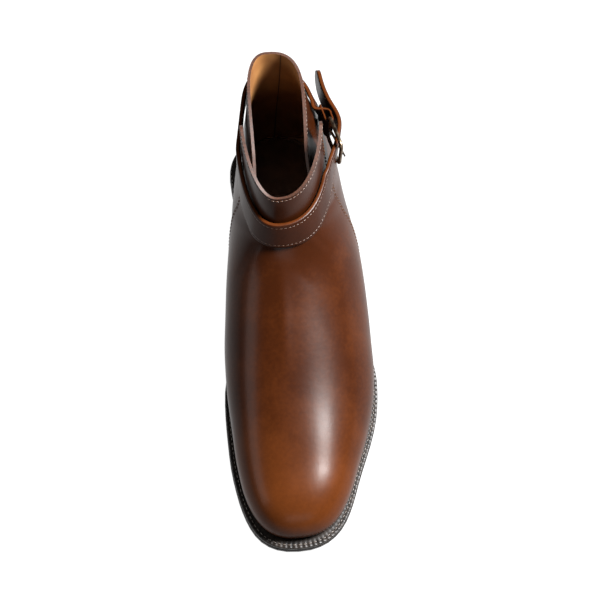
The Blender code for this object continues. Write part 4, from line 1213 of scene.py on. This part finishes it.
strap_loops = []
for i in range(len(plan_top)):
    centre_along = (plan_top[i, 1] + plan_bottom[i, 1]) / 2
    high = strap_top(centre_along)
    low = strap_bottom(centre_along)
    loop = []
    for across, up in section:
        part = 0.5 + 0.5 * up * half_up[i]
        plan = plan_bottom[i] + (plan_top[i] - plan_bottom[i]) * part
        plan = plan + strap_side[i] * thick[i] * across / 2
        loop.append((plan[0], plan[1], (high + low) / 2 + (high - low) / 2 * up * half_up[i]))
    strap_loops.append(loop)
strap_loops = np.array(strap_loops)
strap_tone = np.tile(np.array(section_tone_and_highlight), (len(strap_loops), 1))
strap_calf = calf_material("strap_calf", STRAP_GLOSS)
strap = tube_piece("ankle_strap", strap_loops, False, strap_calf, strap_tone)
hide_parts("strap")

# The seams lie in the channels of the face that looks away from the shaft
SEAM_START = 24
SEAM_END = -6
halfway = len(plan_top) // 2
faces_out = strap_side[halfway] @ (plan_top[halfway] - np.array(SHAFT_CENTRE)) > 0
for number, up in enumerate((-CHANNEL_UP, CHANNEL_UP)):
    if faces_out:
        index = FACE_UPS.index(up)
    else:
        index = len(FACE_UPS) + EDGE_TURNS + FACE_UPS.index(-up)
    line = strap_loops[SEAM_START:SEAM_END, index]
    thread_row(f"strap_seam_{number + 1}", line, TOP_STITCH, thread)

# Buckle
# A small rectangular frame and a straight prong, cast brass with a dark bronze finish that has
# rubbed paler in places. The strap's thin end is folded round the back bar.


def strap_middle(along):
    return (strap_top(along) + strap_bottom(along)) / 2


def prong_ends():
    forward, outward = frame_axes()
    bar = np.array(BACK_BAR)
    start = bar + forward * (BAR_RADIUS + 2 * GAP + FOLD_THICK)
    over = bar + forward * FRAME_LONG + outward * (BAR_RADIUS + GAP + PRONG_RADIUS)
    reach = (over - start) / np.hypot(*(over - start))
    end = over + reach * PRONG_PAST
    height = strap_middle(BACK_BAR[1])
    return np.array([*start, height]), np.array([*end, height])


# Antiqued brass: cast, tumbled and darkened, so a brown metal, paler where a hand rubs it
brass = clouded_material(
    "antiqued_brass", {"Metallic": 1.0}, {"Scale": 260.0, "Detail": 5.0},
    ((0.35, "#3d3128"), (0.75, "#8c7a63")), roughness=(0.22, 0.42))


def wire_piece(name, points, radii, cyclic):
    """A round wire through places in millimetres, with its own radius at each."""
    curve = bpy.data.curves.new(name, "CURVE")
    curve.dimensions = "3D"
    line = curve.splines.new("POLY")
    line.points.add(len(points) - 1)
    for point, spot, radius in zip(line.points, to_world(np.array(points)), radii):
        point.co = (*spot, 1.0)
        point.radius = radius
    line.use_cyclic_u = cyclic
    curve.bevel_depth = MM
    curve.bevel_resolution = 6
    curve.use_fill_caps = True
    maker = bpy.data.objects.new(name, curve)
    bpy.context.scene.collection.objects.link(maker)
    made = maker.evaluated_get(bpy.context.evaluated_depsgraph_get())
    mesh = bpy.data.meshes.new_from_object(made)
    bpy.data.objects.remove(maker)
    mesh.name = name
    mesh.shade_smooth()
    mesh.materials.clear()
    mesh.materials.append(brass)
    piece = bpy.data.objects.new(name, mesh)
    bpy.context.scene.collection.objects.link(piece)
    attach(piece, "root")
    return piece


forward = frame_axes()[0]
back_bar = np.array(BACK_BAR)
bar_height = strap_middle(BACK_BAR[1])
frame_points = []
corners = (
    (FRAME_LONG - FRAME_CORNER, FRAME_HIGH / 2 - FRAME_CORNER, 0.0),
    (FRAME_CORNER, FRAME_HIGH / 2 - FRAME_CORNER, np.pi / 2),
    (FRAME_CORNER, FRAME_CORNER - FRAME_HIGH / 2, np.pi),
    (FRAME_LONG - FRAME_CORNER, FRAME_CORNER - FRAME_HIGH / 2, 3 * np.pi / 2),
)
for reach, up, first in corners:
    for turn in np.linspace(first, first + np.pi / 2, 12):
        plan = back_bar + forward * (reach + FRAME_CORNER * np.cos(turn))
        frame_points.append((*plan, bar_height + up + FRAME_CORNER * np.sin(turn)))
buckle = wire_piece("buckle_ring", frame_points, [BAR_RADIUS] * len(frame_points), True)
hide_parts("buckle_frame")

start, end = prong_ends()
prong_parts = np.linspace(0, 1, 16)
prong_points = [start + (end - start) * part for part in prong_parts]
prong_radii = PRONG_RADIUS * (1 - 0.45 * np.maximum(prong_parts - 0.6, 0) / 0.4)
prong = wire_piece("buckle_tongue", prong_points, prong_radii, False)
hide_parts("buckle_prong")

# Studio
# A lit white floor in a dim room, a bright soft light at the upper right, a long weak one on the
# left and another in front, and the photograph's view from above the toe.

# Opal acrylic, frosted and lit from beneath as on a light table, so that no shadow shows on it
opal_floor, shader = new_material("lit_opal_floor", {
    "Base Color": linear("#3c3c3c"), "Roughness": 0.9, "Specular IOR Level": 0.1,
    "Emission Color": linear("#ffffff"), "Emission Strength": 1.0})
work = bmesh.new()
bmesh.ops.create_grid(work, x_segments=1, y_segments=1, size=12.0)
mesh = bpy.data.meshes.new("floor")
work.to_mesh(mesh)
work.free()
mesh.materials.append(opal_floor)
floor = bpy.data.objects.new("floor", mesh)
bpy.context.scene.collection.objects.link(floor)

world = bpy.data.worlds.new("dim room")
world.use_nodes = True
world.node_tree.nodes["Background"].inputs["Color"].default_value = (1.0, 1.0, 1.0, 1.0)
world.node_tree.nodes["Background"].inputs["Strength"].default_value = 0.06
bpy.context.scene.world = world
bpy.context.scene.view_settings.view_transform = "Standard"

# Each light's name, place, aim, width, height and watts
LIGHTS = (
    ("key softbox", (0.58, -0.10, 0.80), (0.0, -0.17, 0.05), 0.30, 0.28, 70.0),
    ("left strip", (-0.80, -0.20, 0.50), (0.0, -0.14, 0.05), 0.80, 0.36, 4.5),
    ("front light", (0.10, -1.10, 0.50), (0.0, -0.16, 0.05), 0.60, 0.30, 2.0),
)
for name, spot, aim, wide, high, watts in LIGHTS:
    light = bpy.data.lights.new(name, "AREA")
    light.shape = "RECTANGLE"
    light.size = wide
    light.size_y = high
    light.energy = watts
    holder = bpy.data.objects.new(name, light)
    holder.location = spot
    holder.rotation_euler = (Vector(aim) - Vector(spot)).to_track_quat("-Z", "Y").to_euler()
    bpy.context.scene.collection.objects.link(holder)

CAMERA_PLACE = Vector((-0.0673, -0.5125, 0.9108))
CAMERA_AIM = Vector((0.0044, -0.1156, 0.060))
CAMERA_ROLL = 5.77
CAMERA_LENS = 84.0
view = bpy.data.cameras.new("photo view")
view.lens = CAMERA_LENS
view.sensor_width = 36.0
view.clip_start = 0.01
camera = bpy.data.objects.new("photo view", view)
camera.location = CAMERA_PLACE
look = (CAMERA_AIM - CAMERA_PLACE).to_track_quat("-Z", "Y").to_matrix()
camera.rotation_euler = (look @ Matrix.Rotation(np.radians(CAMERA_ROLL), 3, "Z")).to_euler()
bpy.context.scene.collection.objects.link(camera)
bpy.context.scene.camera = camera
